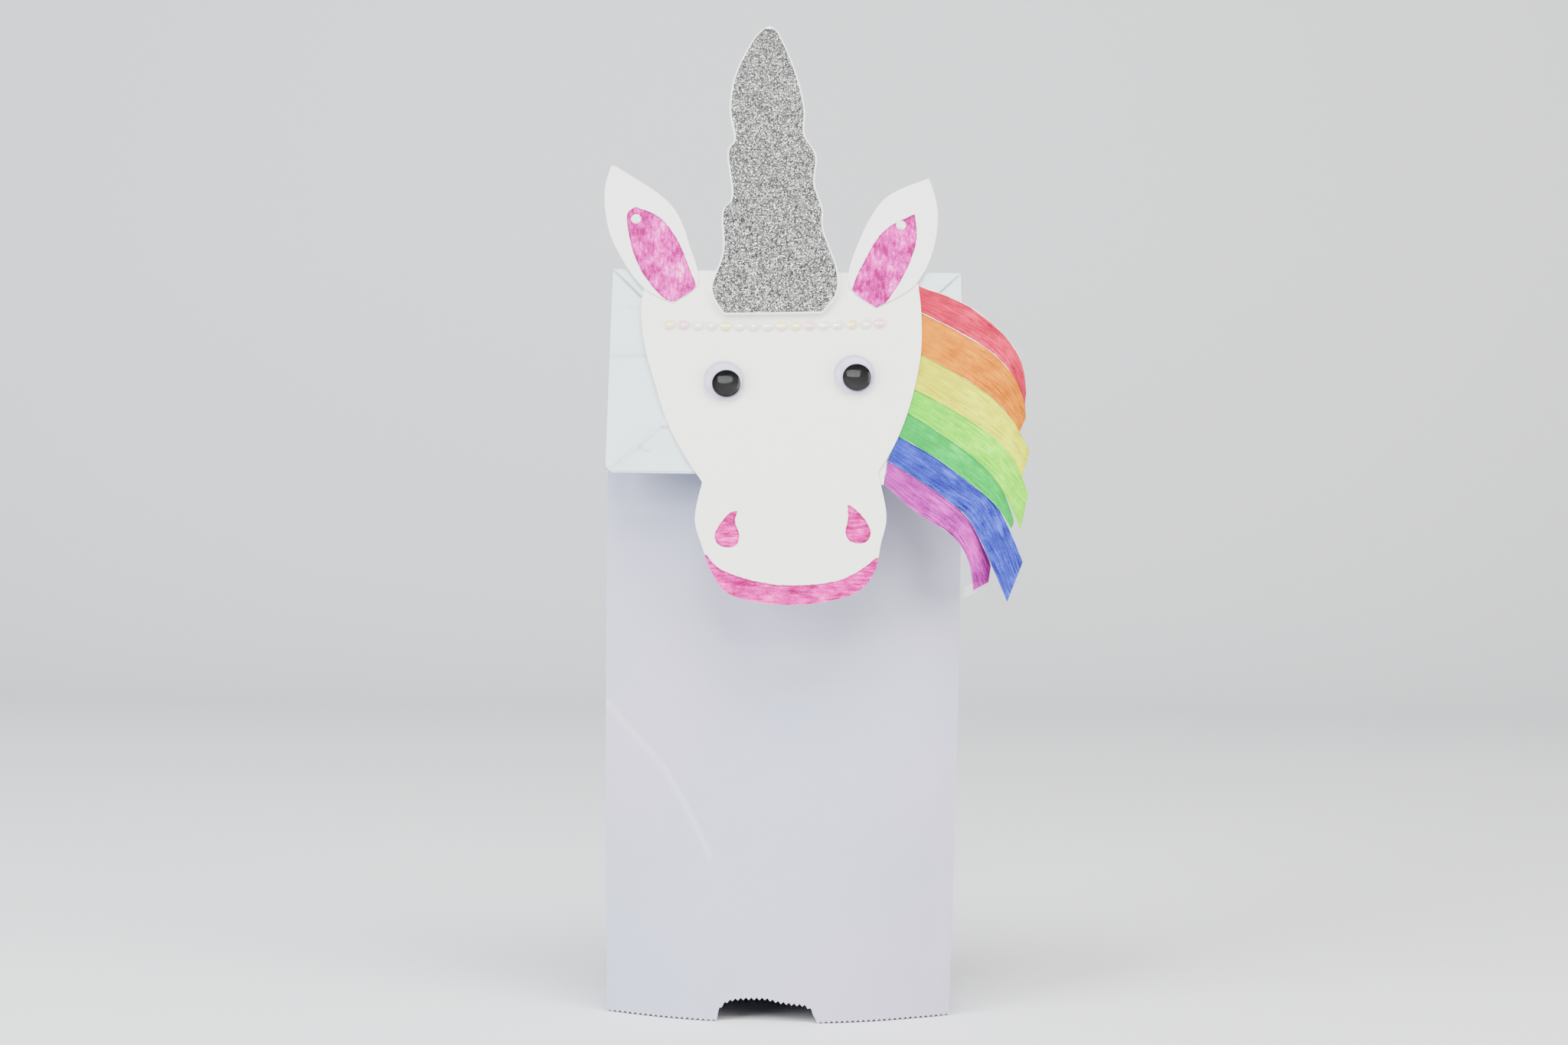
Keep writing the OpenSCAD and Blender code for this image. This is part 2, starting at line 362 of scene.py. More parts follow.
def blank(name: str) -> tuple[bpy.types.Material, bpy.types.NodeTree, bpy.types.NodeSocket]:
    """Starts a material.

    Args:
        name: The material's name.

    Returns:
        The material, its emptied node tree, and its Object coordinates.
    """
    material = bpy.data.materials.new(name)
    material.use_nodes = True
    tree = material.node_tree
    tree.nodes.clear()
    return material, tree, add(tree, "ShaderNodeTexCoord").outputs["Object"]


def dimmed(code: str, share: float) -> tuple[float, float, float, float]:
    """Linear RGBA of an sRGB hex colour, with its light cut to a share."""
    return tuple(c * share for c in linear(code)[:3]) + (1.0,)


@dataclass(frozen=True)
class Paper:
    """Uncoated paper, machine made: matt, faintly cloudy, with a fine tooth of fibres."""

    name: str
    tone: str
    shade: str = ""
    # Tone painted along folds and lap edges by the fold attribute: painted shade on the flap, a painted
    # highlight on the bag.
    folded: str = ""
    cloud: float = 0.035
    cloud_mm: float = 9.0
    shade_mm: float = 70.0
    tooth_mm: float = 0.35
    relief_mm: float = 0.012
    soft_mm: float = 14.0
    soft_relief_mm: float = 0.12
    roughness: float = 0.86
    gloss: float = 0.28
    fuzz: float = 0.08

    def make(self) -> bpy.types.Material:
        """Builds the material: a tone clouded by broad noise, and bump from fibres and handling dents.

        Returns:
            The material.
        """
        material, tree, place = blank(self.name)
        shader = self.shader(tree, self.tint(tree, place), place)
        add(tree, "ShaderNodeOutputMaterial", Surface=shader)
        return material

    def tint(self, tree: bpy.types.NodeTree, place: bpy.types.NodeSocket) -> bpy.types.NodeSocket:
        """Colour of the bare sheet: clouded by pulp density, drifting to a second tone, and with a painted fold
        tone along its folds and lap edges: painted shade on the flap, a painted highlight on the bag.

        Args:
            tree: The material's node tree.
            place: Its Object coordinates.

        Returns:
            The colour.
        """
        cloud = add(
            tree, "ShaderNodeTexNoise", Vector=place, Scale=1 / (self.cloud_mm * MM), Detail=5.0, Roughness=0.6
        )
        deep = dimmed(self.tone, 1 - self.cloud * 2)
        mixed = add(tree, "ShaderNodeMix", RGBA, s0=cloud.outputs["Fac"], s6=linear(self.tone), s7=deep)
        if self.shade:
            wide = add(tree, "ShaderNodeTexNoise", Vector=place, Scale=1 / (self.shade_mm * MM), Detail=1.0)
            share = add(tree, "ShaderNodeMapRange", Value=wide.outputs["Fac"], From_Min=0.35, From_Max=0.65)
            mixed = add(
                tree, "ShaderNodeMix", RGBA, s0=share.outputs[0], s6=mixed.outputs[2], s7=linear(self.shade)
            )
        # Painted fold tone: painted shade on the flap's creases, a painted highlight on the bag's folds and
        # seam-lap edges.
        if self.folded:
            share = add(tree, "ShaderNodeAttribute", {"attribute_name": "fold_share"}).outputs["Fac"]
            mixed = add(tree, "ShaderNodeMix", RGBA, s0=share, s6=mixed.outputs[2], s7=linear(self.folded))
        return mixed.outputs[2]

    def shader(
        self, tree: bpy.types.NodeTree, colour: bpy.types.NodeSocket, place: bpy.types.NodeSocket
    ) -> bpy.types.NodeSocket:
        """Matt sheet: fibre tooth over handling dents as bump, and a trace of fibre sheen.

        Args:
            tree: The material's node tree.
            colour: The sheet's colour.
            place: The material's Object coordinates.

        Returns:
            The shader.
        """
        fibres = add(tree, "ShaderNodeTexNoise", Vector=place, Scale=1 / (self.tooth_mm * MM), Detail=3.0)
        dents = add(tree, "ShaderNodeTexNoise", Vector=place, Scale=1 / (self.soft_mm * MM), Detail=2.0)
        low = add(
            tree, "ShaderNodeBump", Strength=0.6, Distance=self.soft_relief_mm * MM, Height=dents.outputs["Fac"]
        )
        high = add(
            tree, "ShaderNodeBump", Strength=0.5, Distance=self.relief_mm * MM, Height=fibres.outputs["Fac"],
            Normal=low.outputs["Normal"],
        )
        paper = add(
            tree, "ShaderNodeBsdfPrincipled", Base_Color=colour, Roughness=self.roughness,
            Normal=high.outputs["Normal"],
        )
        paper.inputs["Specular IOR Level"].default_value = self.gloss
        paper.inputs["Sheen Weight"].default_value = self.fuzz
        paper.inputs["Sheen Roughness"].default_value = 0.6
        return paper.outputs[0]


@dataclass(frozen=True)
class PencilPaper(Paper):
    """Coloured pencil rubbed on paper: wax caught on the tooth, in strokes, darker where pressed harder."""

    light: str = "#eeb6d6"
    mid: str = "#df72b4"
    dark: str = "#c9489a"
    root: str = ""
    stroke_mm: tuple[float, float] = (1.1, 7.0)
    along_uv: bool = False
    turn: float = 0.0
    patch_mm: float = 6.0
    grain_mm: float = 0.55
    swing: tuple[float, float, float] = (1.5, 0.8, 0.5)
    pressed: float = 0.5
    drawn: float = 0.0
    drawn_mm: tuple[float, float] = (-0.8, -0.2)
    ragged_mm: float = 0.5
    wobble_mm: float = 1.6
    soft_edge_mm: float = 0.12
    bare: float = 0.2
    gap: float = 0.3
    speck_mm: float = 0.0
    speck_gap_mm: float = 13.0
    speck: str = "#2c2a24"

    def tint(self, tree: bpy.types.NodeTree, place: bpy.types.NodeSocket) -> bpy.types.NodeSocket:
        """Pencil over bare paper, where the attribute pencil_mm, a distance, is under 0.

        Noise of the strokes, of patches and of the paper's tooth adds up to the pencil's weight, which
        picks one of three tones and leaves gaps of bare tooth where it is low.

        Args:
            tree: The material's node tree.
            place: Its Object coordinates.

        Returns:
            The colour.
        """
        bare = super().tint(tree, place)
        where = add(tree, "ShaderNodeUVMap", {"uv_map": "cut"}).outputs["UV"] if self.along_uv else place
        wide, long = self.stroke_mm
        strokes = add(
            tree, "ShaderNodeMapping", Vector=where, Rotation=(0, self.turn, self.turn if self.along_uv else 0),
            Scale=(1 / (long * MM), 1 / (wide * MM), 1 / (wide * MM)) if self.along_uv
            else (1 / (wide * MM), 1 / (wide * MM), 1 / (long * MM)),
        )
        stroke = add(
            tree, "ShaderNodeTexNoise", Vector=strokes.outputs[0], Scale=1.0, Detail=4.0, Roughness=0.65
        )
        patch = add(tree, "ShaderNodeTexNoise", Vector=place, Scale=1 / (self.patch_mm * MM), Detail=2.0)
        tooth = add(
            tree, "ShaderNodeTexNoise", Vector=place, Scale=1 / (self.grain_mm * MM), Detail=2.0, Roughness=0.7
        )
        weight = add(tree, "ShaderNodeValue")
        weight.outputs[0].default_value = self.pressed - sum(self.swing) / 2
        for noise, swing in zip((stroke, patch, tooth), self.swing):
            weight = add(
                tree, "ShaderNodeMath", MULTIPLY_ADD, s0=noise.outputs["Fac"], s1=swing, s2=weight.outputs[0]
            )
        distance = add(tree, "ShaderNodeAttribute", {"attribute_name": "pencil_mm"}).outputs["Fac"]
        if self.drawn:
            line = add(
                tree, "ShaderNodeMapRange", Value=distance, From_Min=self.drawn_mm[0],
                From_Max=self.drawn_mm[1], To_Min=0.0, To_Max=self.drawn,
            )
            weight = add(
                tree, "ShaderNodeMath", {"operation": "ADD"}, s0=weight.outputs[0], s1=line.outputs[0]
            )
        ramp = add(tree, "ShaderNodeValToRGB", Fac=weight.outputs[0])
        stops = ramp.color_ramp.elements
        stops[0].position, stops[0].color = 0.2, linear(self.light)
        stops[1].position, stops[1].color = 0.85, linear(self.dark)
        middle = stops.new(0.5)
        middle.color = linear(self.mid)
        rubbed = ramp.outputs["Color"]
        if self.root:
            share = add(tree, "ShaderNodeAttribute", {"attribute_name": "root_share"}).outputs["Fac"]
            patchy = add(tree, "ShaderNodeMath", MULTIPLY, s0=share, s1=stroke.outputs["Fac"])
            root = add(tree, "ShaderNodeMix", RGBA, s0=patchy.outputs[0], s6=rubbed, s7=linear(self.root))
            rubbed = root.outputs[2]
        gaps = add(
            tree, "ShaderNodeMapRange", Value=weight.outputs[0], From_Min=self.bare - 0.1,
            From_Max=self.bare + 0.1, To_Min=self.gap, To_Max=1.0,
        )
        wobble = add(tree, "ShaderNodeTexNoise", Vector=place, Scale=1 / (self.wobble_mm * MM), Detail=3.0)
        edge = add(
            tree, "ShaderNodeMath", MULTIPLY_ADD, s0=wobble.outputs["Fac"], s1=self.ragged_mm * 2, s2=distance
        )
        inside = add(
            tree, "ShaderNodeMapRange", Value=edge.outputs[0], From_Min=self.ragged_mm + self.soft_edge_mm,
            From_Max=self.ragged_mm - self.soft_edge_mm, To_Min=0.0, To_Max=1.0,
        )
        cover = add(tree, "ShaderNodeMath", MULTIPLY, s0=inside.outputs[0], s1=gaps.outputs[0])
        mixed = add(tree, "ShaderNodeMix", RGBA, s0=cover.outputs[0], s6=bare, s7=rubbed)
        if not self.speck_mm:
            return mixed.outputs[2]
        specks = add(tree, "ShaderNodeTexVoronoi", Vector=place, Scale=1 / (self.speck_gap_mm * MM))
        dot = add(
            tree, "ShaderNodeMath", {"operation": "LESS_THAN"}, s0=specks.outputs["Distance"],
            s1=self.speck_mm / self.speck_gap_mm,
        )
        dotted = add(
            tree, "ShaderNodeMix", RGBA, s0=dot.outputs[0], s6=mixed.outputs[2], s7=linear(self.speck)
        )
        return dotted.outputs[2]


@dataclass(frozen=True)
class Foam:
    """White craft foam, sheet cut with scissors: matt, with tiny closed cells on the cut."""

    name: str
    tone: str
    cell_mm: float = 0.3
    relief_mm: float = 0.05
    cloud_mm: float = 2.0
    cloud: float = 0.1

    def make(self) -> bpy.types.Material:
        """Builds the material: a faintly clouded tone that lets a little light in, with cell bump.

        Returns:
            The material.
        """
        material, tree, place = blank(self.name)
        cells = add(tree, "ShaderNodeTexVoronoi", Vector=place, Scale=1 / (self.cell_mm * MM))
        bump = add(
            tree, "ShaderNodeBump", Strength=0.4, Distance=self.relief_mm * MM, Height=cells.outputs["Distance"]
        )
        cloud = add(tree, "ShaderNodeTexNoise", Vector=place, Scale=1 / (self.cloud_mm * MM), Detail=3.0)
        deep = dimmed(self.tone, 1 - self.cloud)
        mixed = add(tree, "ShaderNodeMix", RGBA, s0=cloud.outputs["Fac"], s6=linear(self.tone), s7=deep)
        foam = add(
            tree, "ShaderNodeBsdfPrincipled", Base_Color=mixed.outputs[2], Roughness=0.75,
            Normal=bump.outputs["Normal"],
        )
        foam.inputs["Subsurface Weight"].default_value = 0.15
        foam.inputs["Subsurface Scale"].default_value = 1.5 * MM
        add(tree, "ShaderNodeOutputMaterial", Surface=foam.outputs[0])
        return material


@dataclass(frozen=True)
class Glitter:
    """Silver glitter set in clear glue: cut film flakes at all tilts, with painted glints and painted shade in
    their base colours.
    """

    name: str
    flake_mm: float = 0.38
    tilt: float = 0.9
    shaded: str = "#2a2b2b"
    film: str = "#525451"
    bright: str = "#d6d6d2"

    def make(self) -> bpy.types.Material:
        """Builds the material: one flake to each cell, with its own tilt and its own grey, from painted shade
        up to a painted glint.

        Returns:
            The material.
        """
        material, tree, place = blank(self.name)
        flakes = add(tree, "ShaderNodeTexVoronoi", Vector=place, Scale=1 / (self.flake_mm * MM))
        tilt = add(
            tree, "ShaderNodeVectorMath", {"operation": "SUBTRACT"}, s0=flakes.outputs["Color"],
            s1=(0.5, 0.5, 0.5),
        )
        scaled = add(tree, "ShaderNodeVectorMath", {"operation": "SCALE"}, s0=tilt.outputs[0])
        scaled.inputs["Scale"].default_value = self.tilt
        facing = add(tree, "ShaderNodeNewGeometry").outputs["Normal"]
        turned = add(tree, "ShaderNodeVectorMath", {"operation": "ADD"}, s0=facing, s1=scaled.outputs[0])
        normal = add(tree, "ShaderNodeVectorMath", {"operation": "NORMALIZE"}, s0=turned.outputs[0])
        pick = add(tree, "ShaderNodeSeparateColor", Color=flakes.outputs["Color"])
        # Painted shade and painted glints: each flake's base colour is picked at random between dark grey and
        # near white.
        ramp = add(tree, "ShaderNodeValToRGB", Fac=pick.outputs["Green"])
        stops = ramp.color_ramp.elements
        stops[0].position, stops[0].color = 0.05, linear(self.shaded)
        stops[1].position, stops[1].color = 0.95, linear(self.bright)
        stops.new(0.6).color = linear(self.film)
        film = add(
            tree, "ShaderNodeBsdfPrincipled", Base_Color=ramp.outputs["Color"], Metallic=0.6, Roughness=0.36,
            Normal=normal.outputs[0],
        )
        add(tree, "ShaderNodeOutputMaterial", Surface=film.outputs[0])
        return material


@dataclass(frozen=True)
class Plastic:
    """Moulded plastic: smooth skin, with faint flow waviness in the gloss."""

    name: str
    tone: str
    roughness: float = 0.2
    clear: float = 0.0
    coat: float = 0.0
    metal: float = 0.0
    ior: float = 1.49
    gloss: float = 0.5
    flow_mm: float = 2.2
    relief_mm: float = 0.01

    def make(self) -> bpy.types.Material:
        """Builds the material: the tone varied a little, and a slight ripple in its surface.

        Returns:
            The material.
        """
        material, tree, place = blank(self.name)
        flow = add(tree, "ShaderNodeTexNoise", Vector=place, Scale=1 / (self.flow_mm * MM), Detail=2.0)
        deep = dimmed(self.tone, 0.93)
        mixed = add(tree, "ShaderNodeMix", RGBA, s0=flow.outputs["Fac"], s6=linear(self.tone), s7=deep)
        bump = add(
            tree, "ShaderNodeBump", Strength=0.25, Distance=self.relief_mm * MM, Height=flow.outputs["Fac"]
        )
        body = add(
            tree, "ShaderNodeBsdfPrincipled", Base_Color=mixed.outputs[2], Metallic=self.metal,
            Roughness=self.roughness, IOR=self.ior, Normal=bump.outputs["Normal"],
        )
        body.inputs["Transmission Weight"].default_value = self.clear
        body.inputs["Coat Weight"].default_value = self.coat
        body.inputs["Specular IOR Level"].default_value = self.gloss
        add(tree, "ShaderNodeOutputMaterial", Surface=body.outputs[0])
        return material


class Tint(enum.Enum):
    """Tints of the pale foil-backed stones, with the record slot of each."""

    YELLOW = ("yellow_stone", "#f6eeb4")
    PINK = ("pink_stone", "#f6ccd6")
    WHITE = ("white_stone", "#eff0ea")
    CLEAR = ("clear_stone", "#f3f4f8")


class Side(enum.Enum):
    """The two sides, as the viewer sees them."""

    LEFT = -1
    RIGHT = 1

    @property
    def word(self) -> str:
        """The side's name, as the nodes spell it."""
        return self.name.lower()


class Finishes:
    """The puppet's shared materials, made once; each mane lock makes its own."""

    def __init__(self) -> None:
        """Makes the shared materials."""
        # Thin bleached kraft: cool, clouded grey-white, with a painted highlight along its pressed folds and
        # seam-lap edges.
        self.bag = Paper("bag_paper_machine_made", "#b1b6ca", shade="#b5b1c5", folded="#f4f0f4").make()
        self.gusset = Paper("gusset_paper_machine_made", "#b2b6cb").make()
        # The same paper in glued layers: whiter for its layers and painted lighter for the light that its
        # upward lean catches, with painted shade along its creases and lap edges.
        self.flap = Paper("flap_paper_glued", "#d2e0e2", folded="#8d8f96").make()
        # Smooth drawing card: even and warm, with hardly a cloud.
        self.card = Paper("white_card_uncoated", "#ecece4", cloud=0.02, soft_relief_mm=0.06).make()
        # Pink pencil on card: waxy strokes across the lip and along the ears, darker at the drawn outline.
        self.face = PencilPaper(
            "face_card_pencilled", "#ecece4", cloud=0.02, soft_relief_mm=0.06, gloss=0.08, fuzz=0.0,
            light="#f33fae", mid="#bf2088", dark="#86024e", stroke_mm=(5.0, 0.9), swing=(1.7, 1.0, 0.7),
            drawn=0.2, ragged_mm=0.3, bare=0.1, gap=0.7,
        ).make()
        self.ear = PencilPaper(
            "ear_card_pencilled", "#ecebe8", cloud=0.02, gloss=0.08, fuzz=0.0,
            light="#f150bc", mid="#c42c98", dark="#8a0a5c", stroke_mm=(1.0, 4.5), turn=0.4,
            swing=(1.5, 1.5, 0.7), pressed=0.54, drawn=0.2, ragged_mm=0.3, bare=0.14, gap=0.45,
        ).make()
        self.foam = Foam("craft_foam_white", "#f1f1f0").make()
        self.glitter = Glitter("glitter_silver_coarse").make()
        # Printed backing: satin, faintly violet white.
        self.backing = Plastic("eye_backing_polystyrene", "#e4defb", roughness=0.35).make()
        # Clear blown shell, as thin as film: only its rim and a highlight show, so its index is low.
        self.dome = Plastic("eye_dome_clear_polystyrene", "#ffffff", roughness=0.02, clear=1.0, ior=1.16).make()
        # Black moulded disc: deep, with a weak gloss under the dome.
        self.pupil = Plastic("pupil_black_plastic", "#010102", roughness=0.2, gloss=0.12).make()
        # Dried white glue: dull and creamy.
        self.glue = Plastic("craft_glue_dried", "#efeee6", roughness=0.5).make()
        # Foil-backed acrylic: pale, clear-coated and bright on its facets.
        self.stones = {
            tint: Plastic(f"{slot}_acrylic", tone, roughness=0.12, coat=0.8, metal=0.12).make()
            for tint, (slot, tone) in ((tint, tint.value) for tint in Tint)
        }


# ---- Places taken from the frame ----


@dataclass
class Layout:
    """Where the folds are, read from the frame's joints, in metres."""

    top: np.ndarray
    edge: np.ndarray
    eyes: dict[Side, np.ndarray]

    @classmethod
    def read(cls, frame: dict) -> "Layout":
        """Reads the joints' places.


        Returns:
            The layout.
        """
        at = {j["name"]: np.array(j["pos_m"], float) for j in frame["joints"]}
        eyes = {side: at[f"{side.word}_pupil_roll"] for side in Side}
        return cls(at["flap_hinge"], at["strip_fold"], eyes)

    @property
    def tilt(self) -> float:
        """Lean of the closed flap from the upright, in radians."""
        return math.atan2(self.top[1] - self.edge[1], self.top[2] - self.edge[2])

    @property
    def flap_mm(self) -> float:
        """Length of the flap from the top fold to its lower edge, in millimetres."""
        return float(np.linalg.norm(self.top - self.edge)) / MM

    def on_flap(self, x: Length, z: Length, depth: Length) -> np.ndarray:
        """Points given in the flap's plane, in millimetres, as points of the frame.

        Args:
            x: Across from the bag's middle.
            z: Up the flap from the top fold.
            depth: Forward from the flap's back face.

        Returns:
            Points in metres, with xyz last.
        """
        x, z, depth = np.broadcast_arrays(*(np.asarray(v, float) * MM for v in (x, z, depth)))
        s, c = math.sin(self.tilt), math.cos(self.tilt)
        return np.stack([self.top[0] + x, self.top[1] + z * s - depth * c, self.top[2] + z * c + depth * s], -1)


# ---- The bag ----

# The thumb notch, as places across and heights, and the front panel's pressed folds.
NOTCH = [
    (-22.9, 0), (-22.3, 3.7), (-19.7, 6.3), (-16.9, 7.3), (-12.6, 7.8), (-4.8, 7.9), (0.9, 6.7), (5.1, 6.2),
    (9.7, 5.8), (12.6, 4.2), (14.3, 0),
]
FRONT_FOLDS = [((-64, 111), (-43, 89)), ((-43, 89), (-33, 73)), ((-33, 73), (-25, 57))]


@dataclass
class Bag:
    """The upturned bag: panels, pleated gussets, seam lap and the folds at its top. Sizes in millimetres."""

    layout: Layout
    finishes: Finishes
    width: float = 130.0
    height: float = 270.0
    crease_z: float = 230.0
    crease_y: float = -1.5
    top_y: float = 6.0
    rim_half: float = 19.0
    rim_bow: float = 16.0
    rim_narrow: float = 3.5
    bow_power: float = 1.5
    sheet: float = 0.16
    tuck_sheet: float = 0.12
    tooth: tuple[float, float] = (2.0, 0.9)
    cols: int = 261
    front_rows: int = 116
    back_rows: int = 130
    seam_from: int = 171
    seam_to: int = 195

    def half(self, z: np.ndarray) -> np.ndarray:
        """Half width at height z: full at the top, a little narrower towards the rim, as a square law."""
        return self.width / 2 - self.rim_narrow * np.clip(1 - z / self.crease_z, 0, 1) ** 2

    def bow(self, z: np.ndarray) -> np.ndarray:
        """How far a panel bows out at its middle at height z, growing towards the rim."""
        return self.rim_bow * np.clip(1 - z / self.crease_z, 0, 1) ** self.bow_power

    def front_edge(self, z: np.ndarray) -> np.ndarray:
        """Where the front panel's side edges run, front to back: a straight line from crease to rim."""
        return self.crease_y - (self.rim_half + self.crease_y) * (1 - z / self.crease_z)

    def back_edge(self, z: np.ndarray) -> np.ndarray:
        """Where the back panel's side edges run, front to back: a straight line from top fold to rim."""
        return self.top_y + (self.rim_half - self.top_y) * (1 - z / self.height)

    def place(self, x: np.ndarray, y: np.ndarray, z: np.ndarray) -> np.ndarray:
        """Points in the bag's own millimetres as points of the frame."""
        x, y, z = np.broadcast_arrays(x, y, z)
        return np.stack([self.layout.top[0] + x * MM, y * MM, z * MM], -1)

    def panel(self, top: float, rows: int, front: bool) -> np.ndarray:
        """Millimetre grid of a panel, from its top row down to its pinked edge.

        The cut edge is a triangle wave, and the front's is lifted by the thumb notch's outline.

        Args:
            top: Height of the top row.
            rows: Rows from top to rim.
            front: Whether it is the front panel.

        Returns:
            Rows by columns by x, y, z.
        """
        u = np.linspace(-1, 1, self.cols)[None, :]
        reach = u * self.width / 2
        low = pinking(reach, *self.tooth)
        if front:
            low = low + np.interp(reach, *np.array(NOTCH).T)
        v = np.linspace(1, 0, rows)[:, None]
        z = low + (top - low) * v
        x = u * self.half(z)
        fade = smooth((top - z) / 40) * smooth((1 - np.abs(u)) / 0.12)
        if front:
            y = self.front_edge(z) - self.bow(z) * (1 - u * u)
            dents = ripple(x, z * 0.5, 46, 1.1, 3) + ripple(x, z, 17, 0.16, 9)
            folds = sum(crease(x, z, a, b, 1.6) for a, b in FRONT_FOLDS)
            dents += 0.3 * folds + 0.3 * crease(x, z, (30, 150), (58, 96), 3.0)
        else:
            y = self.back_edge(z) + self.bow(z) * (1 - u * u)
            dents = ripple(x, z * 0.6, 50, 1.0, 5) + ripple(x, z, 19, 0.18, 12)
            dents += 0.5 * crease(x, z, (-50, 90), (20, 140), 2.4) + 0.4 * crease(x, z, (10, 40), (55, 70), 2.2)
        return np.stack([x, y + dents * fade, z], -1)

    def thick(self, grid: np.ndarray, values: dict | None = None) -> Surface:
        """Gives a panel's grid its thickness, backwards.

        Args:
            grid: Rows by columns by x, y, z, in millimetres.
            values: Per-point values on the grid.

        Returns:
            The sheet's surface.
        """
        shown = self.place(grid[..., 0], grid[..., 1], grid[..., 2])
        other = self.place(grid[..., 0], grid[..., 1] + self.sheet, grid[..., 2])
        return Surface.sheet(shown, other, values)

    def front_panel(self) -> bpy.types.Object:
        """Front panel, from the crease behind the flap down to the thumb notch.

        Returns:
            The piece.
        """
        grid = self.panel(self.crease_z, self.front_rows, True)
        # Painted highlight along the front panel's pressed folds.
        lines = sum(crease(grid[..., 0], grid[..., 2], a, b, 0.9) for a, b in FRONT_FOLDS)
        sheet = self.thick(grid, {"fold_share": 0.25 * np.clip(lines, 0, 1)})
        made = sheet.build("front_panel_sheet", self.finishes.bag, self.finishes.bag)
        return stand_in(made, "front_panel", "front_panel")

    def back_panel(self) -> bpy.types.Object:
        """Back panel, up to the top fold.

        Returns:
            The piece.
        """
        sheet = self.thick(self.panel(self.height - 0.3, self.back_rows, False))
        made = sheet.build("back_panel_sheet", self.finishes.bag, self.finishes.bag)
        return stand_in(made, "back_panel", "bag")

    def seam_lap(self) -> bpy.types.Object:
        """Glued seam lap: the strip of the back panel's surface between two columns, raised by one sheet.

        Returns:
            The piece.
        """
        grid = self.panel(self.height - 1.0, self.back_rows, False)[:, self.seam_from : self.seam_to]
        lift = self.sheet + 0.12 * np.sin(np.linspace(0, math.pi, grid.shape[1]))[None, :]
        raised = grid + np.stack([0 * lift, lift, 0 * lift], -1)
        # Painted highlight along the seam lap's two edges.
        edges = 0.5 * (np.abs(np.linspace(-1, 1, grid.shape[1])) > 0.9) + 0 * grid[..., 0]
        sheet = self.thick(raised, {"fold_share": edges})
        made = sheet.build("back_seam_lap_sheet", self.finishes.bag, self.finishes.bag)
        return stand_in(made, "back_seam_lap", "bag")

    def gusset_leaf(self, side: Side, front: bool) -> bpy.types.Object:
        """One leaf of a pleated side, from a panel's edge in to the pleat.

        The pleat lies where two leaves of half the flap's length meet, so its depth follows from the gap.

        Args:
            side: Which side.
            front: Whether it is the leaf on the front panel.

        Returns:
            The piece, fixed in place.
        """
        cols, rows, wide = 41, 90, 40.0
        s = np.linspace(0, 1, cols)[None, :]
        low = pinking(s * wide, *self.tooth)
        z = low + (self.crease_z - low) * np.linspace(1, 0, rows)[:, None]
        outer = self.front_edge(z) + 0.2 if front else self.back_edge(z) - 0.2
        middle = (self.front_edge(z) + self.back_edge(z)) / 2
        deep = np.sqrt(np.maximum((self.layout.flap_mm / 2) ** 2 - (middle - outer) ** 2, 0))
        x = side.value * (self.half(z) - s * deep)
        swell = np.sin(s * math.pi)
        belly = swell * self.bow(z) * (-0.12 if front else 0.12)
        y = outer + (middle - outer) * s + belly + ripple(s * wide, z, 40, 0.5, 20 + side.value) * swell
        grid = np.stack(np.broadcast_arrays(x, y, z), -1)
        if side is Side.RIGHT:
            grid = grid[:, ::-1]
        part = "front" if front else "back"
        paper = self.finishes.gusset
        made = self.thick(grid).build(f"{side.word}_gusset_{part}_sheet", paper, paper)
        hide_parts(f"{side.word}_gusset_{part}_leaf")
        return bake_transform(made)

    def fold(self, name: str, y: float, z: float, radius: float, body: str, half: float) -> bpy.types.Object:
        """Rounded fold along a crease: a slim roll of paper, as a circle carried across the bag.

        Args:
            name: The piece's name.
            y: The roll's place, front to back.
            z: Its height.
            radius: Its radius, less at its ends.
            body: The body that it rides on.
            half: Half its length.

        Returns:
            The piece.
        """
        turns, cols = 17, 53
        angle = np.linspace(0, 2 * math.pi, turns)[:, None]
        x = np.linspace(-half, half, cols)[None, :]
        size = radius * (1 - 0.9 * smooth((np.abs(x) - half + 0.6) / 0.6))
        points = self.place(x, y + size * np.cos(angle), z + size * np.sin(angle))
        made = Surface(points.reshape(-1, 3), quads(turns, cols)).build(name, self.finishes.bag)
        ends = bmesh.new()
        ends.from_mesh(made.data)
        bmesh.ops.holes_fill(ends, edges=ends.edges)
        ends.to_mesh(made.data)
        ends.free()
        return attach(made, body)

